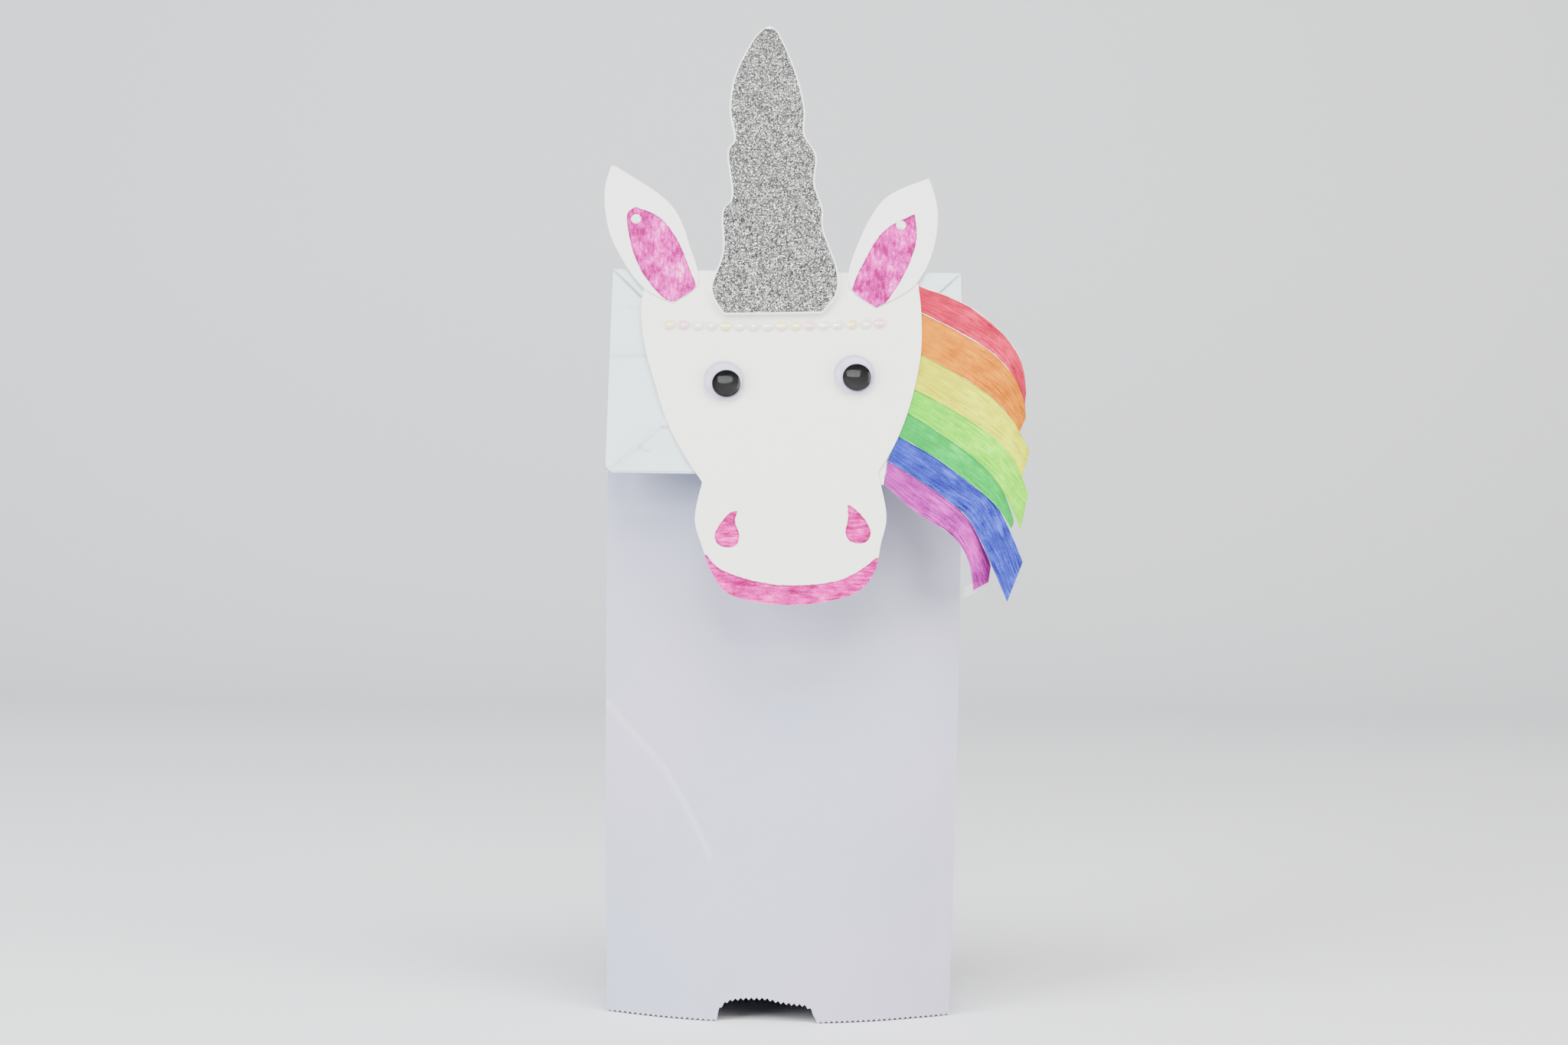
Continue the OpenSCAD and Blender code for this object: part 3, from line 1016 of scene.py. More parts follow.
    def tucks(self, side: Side) -> list[bpy.types.Object]:
        """The four small triangles that close the top's side, folded in on 45-degree creases.

        Each is a triangle from a corner on a fold out to a panel's edge and in to the pleat's end.

        Args:
            side: Which side.

        Returns:
            The four pieces.
        """
        lay = self.layout
        wide = side.value * (self.width / 2 - 0.6)
        half = lay.flap_mm / 2
        inner = self.place(np.array(wide - side.value * half), np.array(0.6), np.array(self.crease_z + 0.8))
        corner_low = lay.on_flap(wide, -lay.flap_mm + 0.4, -0.2)
        corner_top = lay.on_flap(wide, -0.8, -0.2)
        flap_mid = lay.on_flap(wide, -half, -0.2)
        strip_top = self.place(np.array(wide), np.array(self.crease_y - 0.4), np.array(self.crease_z - 0.3))
        level = np.array(self.crease_z)
        back_mid = self.place(np.array(wide), np.array(self.back_edge(level) - 0.3), level)
        plans = [
            ("low_flap", corner_low, flap_mid, inner, "flap", "mouth_strip", False),
            ("low_strip", corner_low, strip_top, inner, "flap", "mouth_strip", True),
            ("top_flap", corner_top, flap_mid, inner, "bag", "flap", True),
            ("top_back", corner_top, back_mid, inner, "bag", "flap", False),
        ]
        made = []
        steps, paper = 21, self.finishes.gusset
        t, s = np.linspace(0, 1, steps)[:, None, None], np.linspace(0, 1, steps)[None, :, None]
        inwards = t[..., 0] * np.sin(np.linspace(0, math.pi, steps))[None, :] * 0.3 * MM
        for name, pole, outer, tip, first, second, ends_here in plans:
            grid = pole + t * (outer * (1 - s) + tip * s - pole)
            grid = grid + np.stack([0 * inwards, 0 * inwards, inwards], -1)
            back = grid + np.array([0, self.tuck_sheet * MM, 0])
            piece = Surface.sheet(grid, back).build(f"{side.word}_tuck_{name}", paper, paper)
            made.append(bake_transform(piece))
        return made

    def mouth_strip(self) -> bpy.types.Object:
        """The jaw strip, folded up behind the flap from its lower edge to the crease.

        Returns:
            The piece.
        """
        lay = self.layout
        low = np.array([lay.edge[1] / MM + 0.15, lay.edge[2] / MM + 0.1])
        high = np.array([self.crease_y - 0.3, self.crease_z])
        t = np.linspace(1, 0, 30)[:, None]
        x = np.linspace(-1, 1, 131)[None, :] * (self.width / 2 - 0.7)
        swell = ripple(x, t * 40, 40, 0.3, 31) * np.sin(t * math.pi)
        y = low[0] + (high[0] - low[0]) * t + swell
        z = low[1] + (high[1] - low[1]) * t
        sheet = self.thick(np.stack(np.broadcast_arrays(x, y, z), -1))
        made = sheet.build("mouth_strip_sheet", self.finishes.gusset, self.finishes.gusset)
        return stand_in(made, "mouth_strip", "mouth_strip")

    def build(self) -> list[bpy.types.Object]:
        """Builds every piece of the bag.

        Returns:
            The pieces.
        """
        lay, half = self.layout, self.width / 2
        made = [self.front_panel(), self.back_panel(), self.seam_lap(), self.mouth_strip()]
        for side in Side:
            made += [self.gusset_leaf(side, True), self.gusset_leaf(side, False), *self.tucks(side)]
        made.append(self.fold("top_fold", lay.top[1] / MM, lay.top[2] / MM - 0.25, 0.3, "flap", half - 0.6))
        edge_y, edge_z = lay.edge[1] / MM, lay.edge[2] / MM + 0.25
        made.append(self.fold("flap_edge_fold", edge_y, edge_z, 0.25, "flap", half - 2.5))
        made.append(self.fold("jaw_crease_fold", self.crease_y, self.crease_z, 0.5, "front_panel", half))
        return made


# ---- The flap ----


# The creases pressed in the flap and the edges of its laps: start, end, width in millimetres, and a share that
# sets how deep each one dents and how much painted shade it gets.
FLAP_FOLDS = [
    ((-64.6, -0.5), (-54, -11), 0.45, 0.8), ((64.6, -0.5), (52, -12), 0.45, 0.5),
    ((-58, -15.4), (-54.6, -15.6), 0.5, 0.25), ((-65, -15), (-58, -15.4), 0.6, 0.1),
    ((-65, -34.8), (-50, -34.4), 0.9, 0.3), ((-65, -31.5), (-58, -31), 1.2, 0.12),
    ((-63, -78.6), (-52.5, -69.8), 0.7, 0.22), ((-52.5, -69.8), (-44.5, -62.4), 0.6, 0.3),
    ((-44.5, -62.4), (-42.6, -62.8), 0.5, 0.6), ((-52.6, -70.6), (-48.8, -71.6), 0.5, 0.4),
    ((-60, -76), (-56, -77.6), 0.6, 0.2), ((58, -14), (50, -22), 0.8, 0.25),
]


@dataclass
class Flap:
    """The bag's folded base: its layer and the two laps glued on it. Sizes in millimetres."""

    layout: Layout
    finishes: Finishes
    half: float = 64.6
    corner: float = 4.0
    cols: int = 261
    layer_rows: int = 150
    lap_rows: int = 80

    def relief(self, x: np.ndarray, z: np.ndarray) -> np.ndarray:
        """Unevenness that the layer and its laps share: soft waves and pressed creases, held at the folds.

        Args:
            x: Across, in millimetres.
            z: Up the flap from the top fold.

        Returns:
            The rise at each point.
        """
        bumps = ripple(x, z, 30, 0.5, 41) + ripple(x, z, 11, 0.1, 42) - 0.1
        bumps -= 0.3 * sum(share * crease(x, z, a, b, 1.4 * width) for a, b, width, share in FLAP_FOLDS)
        held = smooth(-z / 6) * smooth((z + self.layout.flap_mm) / 6)
        return np.minimum(bumps - 0.15, 0.25) * held

    def worn(self, x: np.ndarray, z: np.ndarray) -> dict[str, np.ndarray]:
        """The attribute of painted shade along the pressed creases and lap edges: how grey each point is
        painted.
        """
        rubbed = sum(share * crease(x, z, a, b, width) for a, b, width, share in FLAP_FOLDS)
        return {"fold_share": np.clip(rubbed, 0, 1)}

    def layer(self) -> bpy.types.Object:
        """The base layer: a rectangle whose lower corners are rounded by narrowing its last rows.

        Returns:
            The piece.
        """
        z = np.linspace(-0.15, -self.layout.flap_mm + 0.1, self.layer_rows)[:, None]
        drop = np.clip((-z - (self.layout.flap_mm - self.corner)) / self.corner, 0, 1)
        half = self.half - self.corner * (1 - np.sqrt(1 - drop**2)) * 0.8
        x = np.linspace(-1, 1, self.cols)[None, :] * half
        lift = self.relief(x, z)
        z = z + 0 * x
        front = self.layout.on_flap(x, z, 0.28 + lift)
        back = self.layout.on_flap(x, z, 0.12 + lift)
        # Painted shade along the creases and lap edges, through the fold attribute.
        sheet = Surface.sheet(front, back, self.worn(x, z))
        made = sheet.build("base_flap_sheet", self.finishes.flap, self.finishes.gusset)
        return stand_in(made, "base_flap", "flap")

    def lap(self, name: str, low: bool) -> bpy.types.Object:
        """One glued lap: a trapezium with ends cut at 45 degrees, its long side on the fold.

        Args:
            name: The lap's node.
            low: Whether it is the lower one.

        Returns:
            The piece.
        """
        reach = self.layout.flap_mm / 2 + (1.5 if low else -1.0)
        t = np.linspace(0, 1, self.lap_rows)[:, None]
        z = -(self.layout.flap_mm - 0.8) + t * reach if low else -0.8 - t * reach
        half = self.half - 1.0 - t * (reach - 0.8)
        x = np.linspace(-1, 1, self.cols)[None, :] * half
        lift = self.relief(x, z) + 0.04 + 0.3 * smooth((np.abs(x) - half + 6) / 6) * smooth(t / 0.15)
        z = z + 0 * x
        front = self.layout.on_flap(x, z, 0.46 + lift)
        back = self.layout.on_flap(x, z, 0.31 + lift)
        # Painted shade along the creases and lap edges, through the fold attribute.
        sheet = Surface.sheet(front, back, self.worn(x, z))
        made = sheet.build(f"{name}_sheet", self.finishes.flap, self.finishes.flap)
        return stand_in(made, name, "flap")

    def build(self) -> list[bpy.types.Object]:
        """Builds the base layer and both laps."""
        return [self.layer(), self.lap("upper_base_lap", False), self.lap("lower_base_lap", True)]


# ---- Head card, ears, horn and mane ----

# Outlines in the flap's plane, in millimetres: across from the bag's middle, up from the top fold.
HEAD_LEFT = [(-52, -1), (-53.5, -18), (-51.5, -32.5), (-48, -44.5), (-43, -60), (-37, -72), (-29.5, -83.5)]
HEAD_RIGHT = [(48, -1), (49.5, -15), (49.5, -31), (47, -46), (43.5, -58.5), (39, -69.5), (33.5, -79)]
CHIN = -129
MUZZLE = [
    (-29.5, -83.5), (-31.4, -92.5), (-31.7, -99), (-29.4, -106.6), (-25, -118), (-17.5, -125.9), (3, CHIN),
    (23.5, -125.2), (32, -117), (34.5, -106), (36.5, -95), (33.5, -79),
]
LIP = [
    (-27.4, -110.6), (-25.4, -113.2), (-21.6, -116.4), (-13, -119.5), (-2.5, -121.5), (8, -121.5), (18, -120),
    (26, -116.5), (33, -111),
]
BELOW_LIP = [(60, -111), (60, -150), (-60, -150), (-60, -110.6)]
NOSTRILS = [
    [(-16.6, -94.1), (-17.3, -96.9), (-17.3, -98.9), (-16.1, -101.9), (-15.9, -104.5), (-17.1, -107.2),
     (-20.1, -107.9), (-23.3, -106.9), (-24.7, -103.9), (-23.9, -100.9), (-22.1, -98.1), (-19.5, -95.1)],
    [(22.6, -90.9), (25.2, -92.8), (27.8, -95.4), (30, -98.8), (31, -102), (29.6, -105), (26.4, -105.9),
     (23.2, -104.8), (21.9, -101.6), (22.7, -97.6), (22.8, -94)],
]
# Each ear: its left side and its right side, from the tip down, and the outline of its pink.
EARS = {
    Side.LEFT: (
        [(-66.7, 41.4), (-68.7, 30), (-65.5, 12), (-54, -7), (-42, -14)],
        [(-64.6, 41.2), (-44, 26), (-36, 8), (-33, -6), (-42, -14)],
        [(-57, 24.5), (-60, 20.5), (-57.5, 7), (-52, -4.5), (-43, -13.5), (-34, -8.5), (-36, -0.5), (-41, 11.5),
         (-48, 20.5)],
    ),
    Side.RIGHT: (
        [(53, 38), (36, 29), (26, 10), (23, -6), (33, -15)],
        [(53, 38), (56, 24), (54, 8), (47, -6), (33, -15)],
        [(47.5, 23), (36.5, 16.5), (29.5, 5.5), (24, -10), (33, -15), (38, -11), (45, 2), (48, 12.5)],
    ),
}
HORN_RIGHT = [
    (-8, 101), (-4, 97.5), (2.5, 81), (6, 65.5), (6, 55), (10.5, 46), (10, 34.5), (13, 24), (13.5, 15),
    (18.5, 0), (18.5, -10), (13, -18),
]
HORN_LEFT = [
    (-8, 101), (-13.5, 96), (-20.5, 80.5), (-22.5, 65.5), (-20.5, 53), (-23, 46.5), (-21, 29), (-24.5, 22),
    (-24, 6), (-28, -9), (-23, -19),
]
# The cuts between the locks, from the root out, starting with the red lock's upper edge.
SLITS = [
    [(47.5, -5), (65.5, -12.5), (77, -21.5), (85.5, -31.5)],
    [(49.5, -16.5), (62.5, -23.5), (75.5, -32), (83, -40)],
    [(49, -32.5), (62.5, -40.5), (73.5, -48), (80.5, -54.5)],
    [(46.5, -46.5), (56.5, -52), (70.5, -61), (80.5, -69.5)],
    [(44.5, -56), (56.5, -64), (69, -73.5), (77.5, -83)],
    [(41, -65), (53.5, -72.5), (66, -82), (76, -90.5)],
    [(37, -74.5), (48, -81.5), (59, -89.5), (67.5, -98)],
    [(36, -83.5), (47.5, -94), (59.5, -102), (65.5, -110)],
]
# The purple lock's rolled end: its upper and lower side, with the depth of each point.
CURL_UPPER = [
    (74.4, -111.2, -9), (74.8, -112.2, -13), (72.5, -113.3, -16), (69.8, -114.1, -18), (65.9, -114.7, -22),
]
CURL_LOWER = [
    (68.1, -119.9, -9.2), (69.4, -119.3, -12), (68.9, -119, -16), (67.4, -118.8, -20), (65.8, -118.5, -22.5),
]


class Hue(enum.Enum):
    """The mane's seven pencils and their locks.

    Each has its light, mid, dark and root tone, the lock's cut end from top to bottom, and its bend in mm.
    """

    RED = ("#d83656", "#b42444", "#85082a", "#9b1532", ((88.5, -40), (88.6, -44.5), (88, -49.5)), 9.0)
    ORANGE = ("#d98a0e", "#c46e08", "#984804", "#b86c06", ((88, -49.5), (88, -55), (85.5, -60.5)), 7.0)
    YELLOW = ("#dae802", "#c8d002", "#9c9602", "#aa9c02", ((85.5, -60.5), (89, -68), (86, -78.5)), 6.0)
    LIME = ("#8cf412", "#72cc08", "#30b408", "#18b014", ((86, -78.5), (88, -85), (85, -98)), 5.0)
    GREEN = ("#05c44a", "#02a03c", "#008030", "#00903a", ((82.6, -94.5), (82.4, -96.5), (81.5, -98)), 5.0)
    BLUE = ("#4858cc", "#303c98", "#1c1668", "#28328a", ((85.5, -110.5), (82.6, -117.8), (79.7, -125)), 6.0)
    PURPLE = ("#cf3cba", "#a02c92", "#561050", "#7c2272", ((74.5, -111), (73.5, -117), (68, -120)), 9.0)

    @property
    def speck_mm(self) -> float:
        """Radius of the pencil's dark specks, which the strongest colours don't show."""
        return 0.0 if self in (Hue.RED, Hue.BLUE, Hue.PURPLE) else 0.3

    @property
    def word(self) -> str:
        """The pencil's name, as the nodes spell it."""
        return self.name.lower()


@dataclass
class Head:
    """White card head with its pencilled mouth, ears, horn, mane and stones. Sizes in millimetres."""

    layout: Layout
    finishes: Finishes
    depth: float = 1.25
    sheet: float = 0.2
    foam: float = 2.0
    foam_edge: float = 0.6
    flake: float = 0.16
    stone: float = 4.0
    stone_row: str = "YPWWYWWWYYPWWYWP"
    stone_ends: tuple = ((-43.0, -22.5), (34.2, -21.0))
    stone_sag: float = 0.8
    ear_stones: tuple = ((-56.5, 19.5), (42.3, 18.2))
    mane_sheet: float = 0.12
    lock_depth: float = 0.85
    lock_under: float = 0.04
    curl_from: float = 0.45
    curl_power: float = 2.0

    def card(self) -> bpy.types.Object:
        """The head: level rows from its left outline to its right, closing at the chin on a quarter turn.

        Returns:
            The piece, with the signed distance to its pencilled lip and nostrils.
        """
        samples, rows, cols, chin_rows = 400, 236, 121, 50
        muzzle = spline(MUZZLE, 4 * samples)
        chin = int(np.argmin(muzzle[:, 1]))
        left = np.concatenate([spline(HEAD_LEFT, samples), muzzle[: chin + 1]])
        right = np.concatenate([spline(HEAD_RIGHT, samples), muzzle[: chin - 1 : -1]])
        turn = CHIN + 8.9 * np.cos(np.linspace(0.1, math.pi / 2, chin_rows))
        drop = np.concatenate([np.linspace(-1, -120, rows - chin_rows), turn])
        reach_left = np.interp(-drop, -left[:, 1], left[:, 0])[:, None]
        reach_right = np.interp(-drop, -right[:, 1], right[:, 0])[:, None]
        x = reach_left + (reach_right - reach_left) * np.linspace(0, 1, cols)[None, :]
        z = drop[:, None] + 0 * x
        lift = ripple(x, z, 40, 0.13, 51) + 0.3 * smooth((-z - 84) / 40) * np.cos(x / 34)
        mask = outline_distance(x, z, np.concatenate([spline(LIP, 60), BELOW_LIP]))
        for nostril in NOSTRILS:
            mask = np.minimum(mask, outline_distance(x, z, spline([*nostril, nostril[0]], 60)))
        front = self.layout.on_flap(x, z, self.depth + lift)
        back = self.layout.on_flap(x, z, self.depth - self.sheet + lift)
        sheet = Surface.sheet(front, back, {"pencil_mm": mask})
        made = sheet.build("head_card_sheet", self.finishes.face, self.finishes.card)
        return stand_in(made, "head_card", "flap")

    def ear(self, side: Side) -> bpy.types.Object:
        """One ear: rows between its two outlines, from tip to root, slightly cupped along its middle.

        Args:
            side: Which ear.

        Returns:
            The piece, with the signed distance to its pink.
        """
        left, right, pink = EARS[side]
        rows, cols = 100, 49
        grid = ruled(spline(left, rows), spline(right, rows), cols)
        x, z = grid[..., 0], grid[..., 1]
        s = np.linspace(0, 1, cols)[None, :]
        lift = 0.45 * np.sin(s * math.pi) * smooth((z + 14) / 30) + ripple(x, z, 22, 0.12, 60 + side.value)
        mask = outline_distance(x, z, spline([*pink, pink[0]], 80))
        depth = self.depth + self.sheet + 0.06
        front = self.layout.on_flap(x, z, depth + self.sheet + lift)
        back = self.layout.on_flap(x, z, depth + lift)
        sheet = Surface.sheet(front, back, {"pencil_mm": mask})
        made = sheet.build(f"{side.word}_ear_sheet", self.finishes.ear, self.finishes.card)
        return stand_in(made, f"{side.word}_ear", "flap")

    def horn_grid(self, inset: float, rows: int, cols: int) -> np.ndarray:
        """Grid over the horn's outline, pulled in along its level rows.

        Args:
            inset: How far each side moves inwards, in millimetres.
            rows: Rows from the tip down, a little closer near it.
            cols: Columns across.

        Returns:
            Rows by columns by x and z.
        """
        samples = 500
        left, right = spline(HORN_LEFT, samples), spline(HORN_RIGHT, samples)
        share = np.linspace(0, 1, rows) ** 1.15
        top = HORN_LEFT[0][1] - inset * 2.2
        rise_left = top + (HORN_LEFT[-1][1] + inset - top) * share
        rise_right = top + (HORN_RIGHT[-1][1] + inset - top) * share
        reach_left = np.interp(-rise_left, -left[:, 1], left[:, 0])
        reach_right = np.interp(-rise_right, -right[:, 1], right[:, 0])
        width = reach_right - reach_left
        pull = np.minimum(inset, width / 2)
        sides = np.stack([reach_left + pull, rise_left], -1), np.stack([reach_right - pull, rise_right], -1)
        return ruled(*sides, cols)

    def horn(self) -> list[bpy.types.Object]:
        """The horn: a foam core with softened edges, and its glitter face, a little smaller, rough with flakes.

        Returns:
            The core and the face.
        """
        grid = self.horn_grid(0.0, 190, 31)
        x, z = grid[..., 0], grid[..., 1]
        base = self.depth + 0.02
        swell = ripple(x, z, 30, 0.15, 71)
        front = self.layout.on_flap(x, z, base + self.foam + swell)
        back = self.layout.on_flap(x, z, base + swell * 0.3)
        dress = self.finishes.foam
        core = Surface.sheet(front, back).build("horn_foam_sheet", dress, dress, weld=2e-5)
        soften = core.modifiers.new("soft_cut", "BEVEL")
        soften.width, soften.segments, soften.angle_limit = 0.22 * MM, 2, math.radians(50)
        stand_in(core, "horn_foam_core", "flap")
        grid = self.horn_grid(self.foam_edge, 210, 55)
        x, z = grid[..., 0], grid[..., 1]
        flakes = np.random.default_rng(72).uniform(0, self.flake, x.shape)
        swell = ripple(x, z, 30, 0.15, 71)
        front = self.layout.on_flap(x, z, base + self.foam + 0.08 + swell + flakes)
        back = self.layout.on_flap(x, z, base + self.foam - 0.05 + swell)
        dress = self.finishes.glitter
        face = Surface.sheet(front, back).build("horn_glitter_flakes", dress, dress, crisp=4)
        return [core, stand_in(face, "horn_glitter_face", "flap")]

    def lock(self, number: int, hue: Hue) -> bpy.types.Object:
        """One curled lock: rows from the slit below to a little past the slit above, under the lock over it.

        Across it a row is straight but for a share of the tip's reach, a peak at the middle. It bends
        back as a power of how far along it is past the flap's side.

        Args:
            number: The lock's place, from the top.
            hue: Its pencil.

        Returns:
            The piece.
        """
        light, mid, dark, root, ends, bend = hue.value
        steps, cols = 90, 25
        sides = np.array([SLITS[number], SLITS[number + 1]], float)
        upper, lower = spline([*sides[0], ends[0]], steps), spline([*sides[1], ends[2]], steps)
        middle = spline([*sides.mean(axis=0), ends[1]], steps)
        under = self.lock_under if number else 0.0
        s = np.linspace(0, 1 + under, cols)[None, :]
        peak = 1 - np.abs(2 * s - 1)
        base = lower[:, None] * (1 - s[..., None]) + upper[:, None] * s[..., None]
        flat = base + peak[..., None] * (middle - (lower + upper) / 2)[:, None]
        x, z = flat[..., 0], flat[..., 1]
        t = np.linspace(0, 1, steps)[:, None]
        past = np.clip(t - self.curl_from, 0, None) / (1 - self.curl_from)
        wave = ripple(x, z, 26, 0.3, 80 + number) * smooth(t / 0.3)
        crown = 0.5 * np.sin(s * math.pi) * smooth((t - 0.2) / 0.5)
        depth = self.lock_depth + crown + wave * 0.6 - bend * past**self.curl_power
        depth = depth - 9 * under * smooth((s - 0.9) / 0.08)
        across = np.linalg.norm(upper - lower, axis=1)[:, None]
        edge = across * np.minimum(s, 1 + 1.5 * under - s)
        length = np.concatenate([[0], np.cumsum(np.linalg.norm(np.diff(middle, axis=0), axis=1))])[:, None]
        bare = 0.2 if hue is Hue.RED else -0.12
        bare = bare + 0.16 * np.sin(length / 5.3 + number) * np.sin(length / 2.1 + 2 * number)
        values = {"pencil_mm": bare - edge, "root_share": 1 - smooth(length / 30) + 0 * x}
        uv = np.stack(np.broadcast_arrays(length * MM, (s - 0.5) * across * MM), -1)
        finish = PencilPaper(
            f"mane_paper_pencilled_{hue.word}", "#efefe9", cloud=0.02, gloss=0.08, fuzz=0.0,
            light=light, mid=mid, dark=dark, root=root, stroke_mm=(0.9, 9.0), along_uv=True,
            ragged_mm=0.25, bare=0.0, gap=0.94, speck_mm=hue.speck_mm,
        ).make()
        front = self.layout.on_flap(x, z, depth)
        back = self.layout.on_flap(x, z, depth - self.mane_sheet)
        sheet = Surface.sheet(front, back, values, uv)
        made = sheet.build(f"mane_lock_{hue.word}_sheet", finish, self.finishes.card)
        return stand_in(made, f"mane_lock_{hue.word}", "flap")

    def curled_end(self) -> bpy.types.Object:
        """The purple lock's end, rolled back on itself and to the left, so that its bare back shows.

        Returns:
            The piece.
        """
        x, z, depth = np.moveaxis(ruled(spline(CURL_UPPER, 40), spline(CURL_LOWER, 40), 13), -1, 0)
        front = self.layout.on_flap(x, z, depth)
        back = self.layout.on_flap(x, z, depth - self.mane_sheet)
        card = self.finishes.card
        made = Surface.sheet(front, back).build("mane_lock_purple_curled_end", card, card)
        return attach(made, "flap")

    def gem(self, name: str, x: float, z: float, depth: float, tint: Tint, turn: float) -> bpy.types.Object:
        """A faceted flat-backed stone: ten-sided girdle, crown and table, turned in steps about its own axis.

        Args:
            name: The stone's node.
            x: Its place across, in millimetres.
            z: Its place up the flap.
            depth: Where its flat back lies.
            tint: Its tint.
            turn: How far it is turned, in radians.

        Returns:
            The piece.
        """
        r = self.stone / 2
        profile = np.array([(0, 0), (r * 0.96, 0), (r, 0.45), (r * 0.84, 0.95), (r * 0.5, 1.42), (0, 1.46)])

        def place(a: np.ndarray, b: np.ndarray, h: np.ndarray) -> np.ndarray:
            """Turns the stone and sets it on the flap."""
            c, s = math.cos(turn), math.sin(turn)
            return self.layout.on_flap(x + a * c - b * s, z + a * s + b * c, depth + h)

        made = Surface.lathe(profile, place, 10).build(f"{name}_faceted", self.finishes.stones[tint], crisp=8)
        return stand_in(made, name, "flap")

    def stones(self) -> list[bpy.types.Object]:
        """The brow's row of stones on a shallow sag, a parabola between its ends, and one on each ear.

        Returns:
            The stones.
        """
        tints = {"Y": Tint.YELLOW, "P": Tint.PINK, "W": Tint.WHITE}
        (x0, z0), (x1, z1) = self.stone_ends
        rng = np.random.default_rng(91)
        made = []
        for i, letter in enumerate(self.stone_row):
            t = i / (len(self.stone_row) - 1)
            x, z = x0 + (x1 - x0) * t, z0 + (z1 - z0) * t - self.stone_sag * 4 * t * (1 - t)
            made.append(self.gem(f"brow_stone_{i + 1}", x, z, self.depth, tints[letter], rng.uniform(0, 3)))
        ear_face = self.depth + 2 * self.sheet + 0.1
        for side, (x, z) in zip(Side, self.ear_stones):
            made.append(self.gem(f"{side.word}_ear_stone", x, z, ear_face, Tint.CLEAR, 0.3))
        return made

    def build(self) -> list[bpy.types.Object]:
        """Builds every piece of the head.

        Returns:
            The pieces.
        """
        made = [self.card(), self.ear(Side.LEFT), self.ear(Side.RIGHT), *self.horn()]
        made += [self.lock(i, hue) for i, hue in enumerate(Hue)]
        made.append(self.curled_end())
        return made + self.stones()


@dataclass
class Eye:
    """A googly eye: pale backing with a rim, clear dome and loose black pupil. Sizes in millimetres."""

    layout: Layout
    finishes: Finishes
    side: Side
    depth: float = 1.25
    radius: float = 7.75
    backing: float = 0.6
    dome: float = 3.6
    skirt: float = 0.6
    wall: float = 0.16
    turns: int = 96
    pupil_radius: float = 5.2
    pupil_height: float = 0.8
    pupil_rest: tuple[float, float] = (0.9, -1.4)
    pupil_turns: int = 80

    def around(self, shift: tuple[float, float] = (0.0, 0.0)) -> Placing:
        """Makes the function that places a turned profile.

        Args:
            shift: Its axis, across and up from the eye's own.

        Returns:
            The function, from across, up and height arrays to points.
        """
        eye = self.layout.eyes[self.side] - self.layout.top
        x0 = eye[0] / MM + shift[0]
        z0 = (eye[1] * math.sin(self.layout.tilt) + eye[2] * math.cos(self.layout.tilt)) / MM + shift[1]
        return lambda a, b, h: self.layout.on_flap(x0 + a, z0 + b, self.depth + h)

    def rolled(self, radius: float, height: float, bend: float) -> np.ndarray:
        """Quarter round of the given bend, from a disc's side at radius up to its face at height."""
        turn = np.linspace(0, math.pi / 2, 7)
        return np.stack([radius - bend + bend * np.cos(turn), height - bend + bend * np.sin(turn)], -1)

    def shell(self, radius: float, rise: float) -> np.ndarray:
        """Flattened arc from the dome's skirt to its crown: the cosine's 0.7th power keeps it full."""
        arc = np.linspace(0, math.pi / 2, 26)
        return np.stack([radius * np.cos(arc) ** 0.7, self.backing + self.skirt + rise * np.sin(arc)], -1)

    def backing_disc(self) -> bpy.types.Object:
        """The backing: a disc with a rolled rim and a shallow floor.

        Returns:
            The piece.
        """
        r, top = self.radius, self.backing
        floor = [(r - 0.7, top + 0.02), (r - 0.9, top - 0.12), (0, top - 0.12)]
        profile = np.vstack([[(0, 0), (r - 0.1, 0), (r, 0.1)], self.rolled(r, top, 0.3), floor])
        turned = Surface.lathe(profile, self.around(), self.turns)
        made = turned.build(f"{self.side.word}_eye_backing_turned", self.finishes.backing)
        return stand_in(made, f"{self.side.word}_eye_backing", "flap")

    def dome_shell(self) -> bpy.types.Object:
        """The clear dome: an outer and an inner shell, joined at the skirt's lower edge.

        Returns:
            The piece.
        """
        r, low, rise = self.radius, self.backing + 0.03, self.dome - self.skirt
        outer, inner = self.shell(r, rise), self.shell(r - self.wall, rise - self.wall)
        outer[-1, 0] = inner[-1, 0] = 0
        skirt = [(r - self.wall, low), (r - 0.08, low), (r, low + 0.08)]
        profile = np.vstack([skirt, outer, inner[::-1]])
        blown = Surface.lathe(profile, self.around(), self.turns, closed=True)
        made = blown.build(f"{self.side.word}_eye_dome_blown", self.finishes.dome)
        return stand_in(made, f"{self.side.word}_eye_dome", "flap")

    def pupil(self) -> bpy.types.Object:
        """The loose pupil: a disc with a rolled edge and a faintly domed face.

        Returns:
            The piece.
        """
        r, low, high = self.pupil_radius, self.backing + 0.3, self.backing + 0.3 + self.pupil_height
        crown = [(r * 0.6, high + 0.04), (0, high + 0.06)]
        profile = np.vstack([[(0, low), (r - 0.1, low), (r, low + 0.1)], self.rolled(r, high, 0.25), crown])
        disc = Surface.lathe(profile, self.around(self.pupil_rest), self.pupil_turns)
        made = disc.build(f"{self.side.word}_pupil_disc", self.finishes.pupil)
        return stand_in(made, f"{self.side.word}_pupil", f"{self.side.word}_pupil")

    def build(self) -> list[bpy.types.Object]:
        """Builds the backing, dome and pupil."""
        return [self.backing_disc(), self.dome_shell(), self.pupil()]


# ---- Stage, light and camera ----


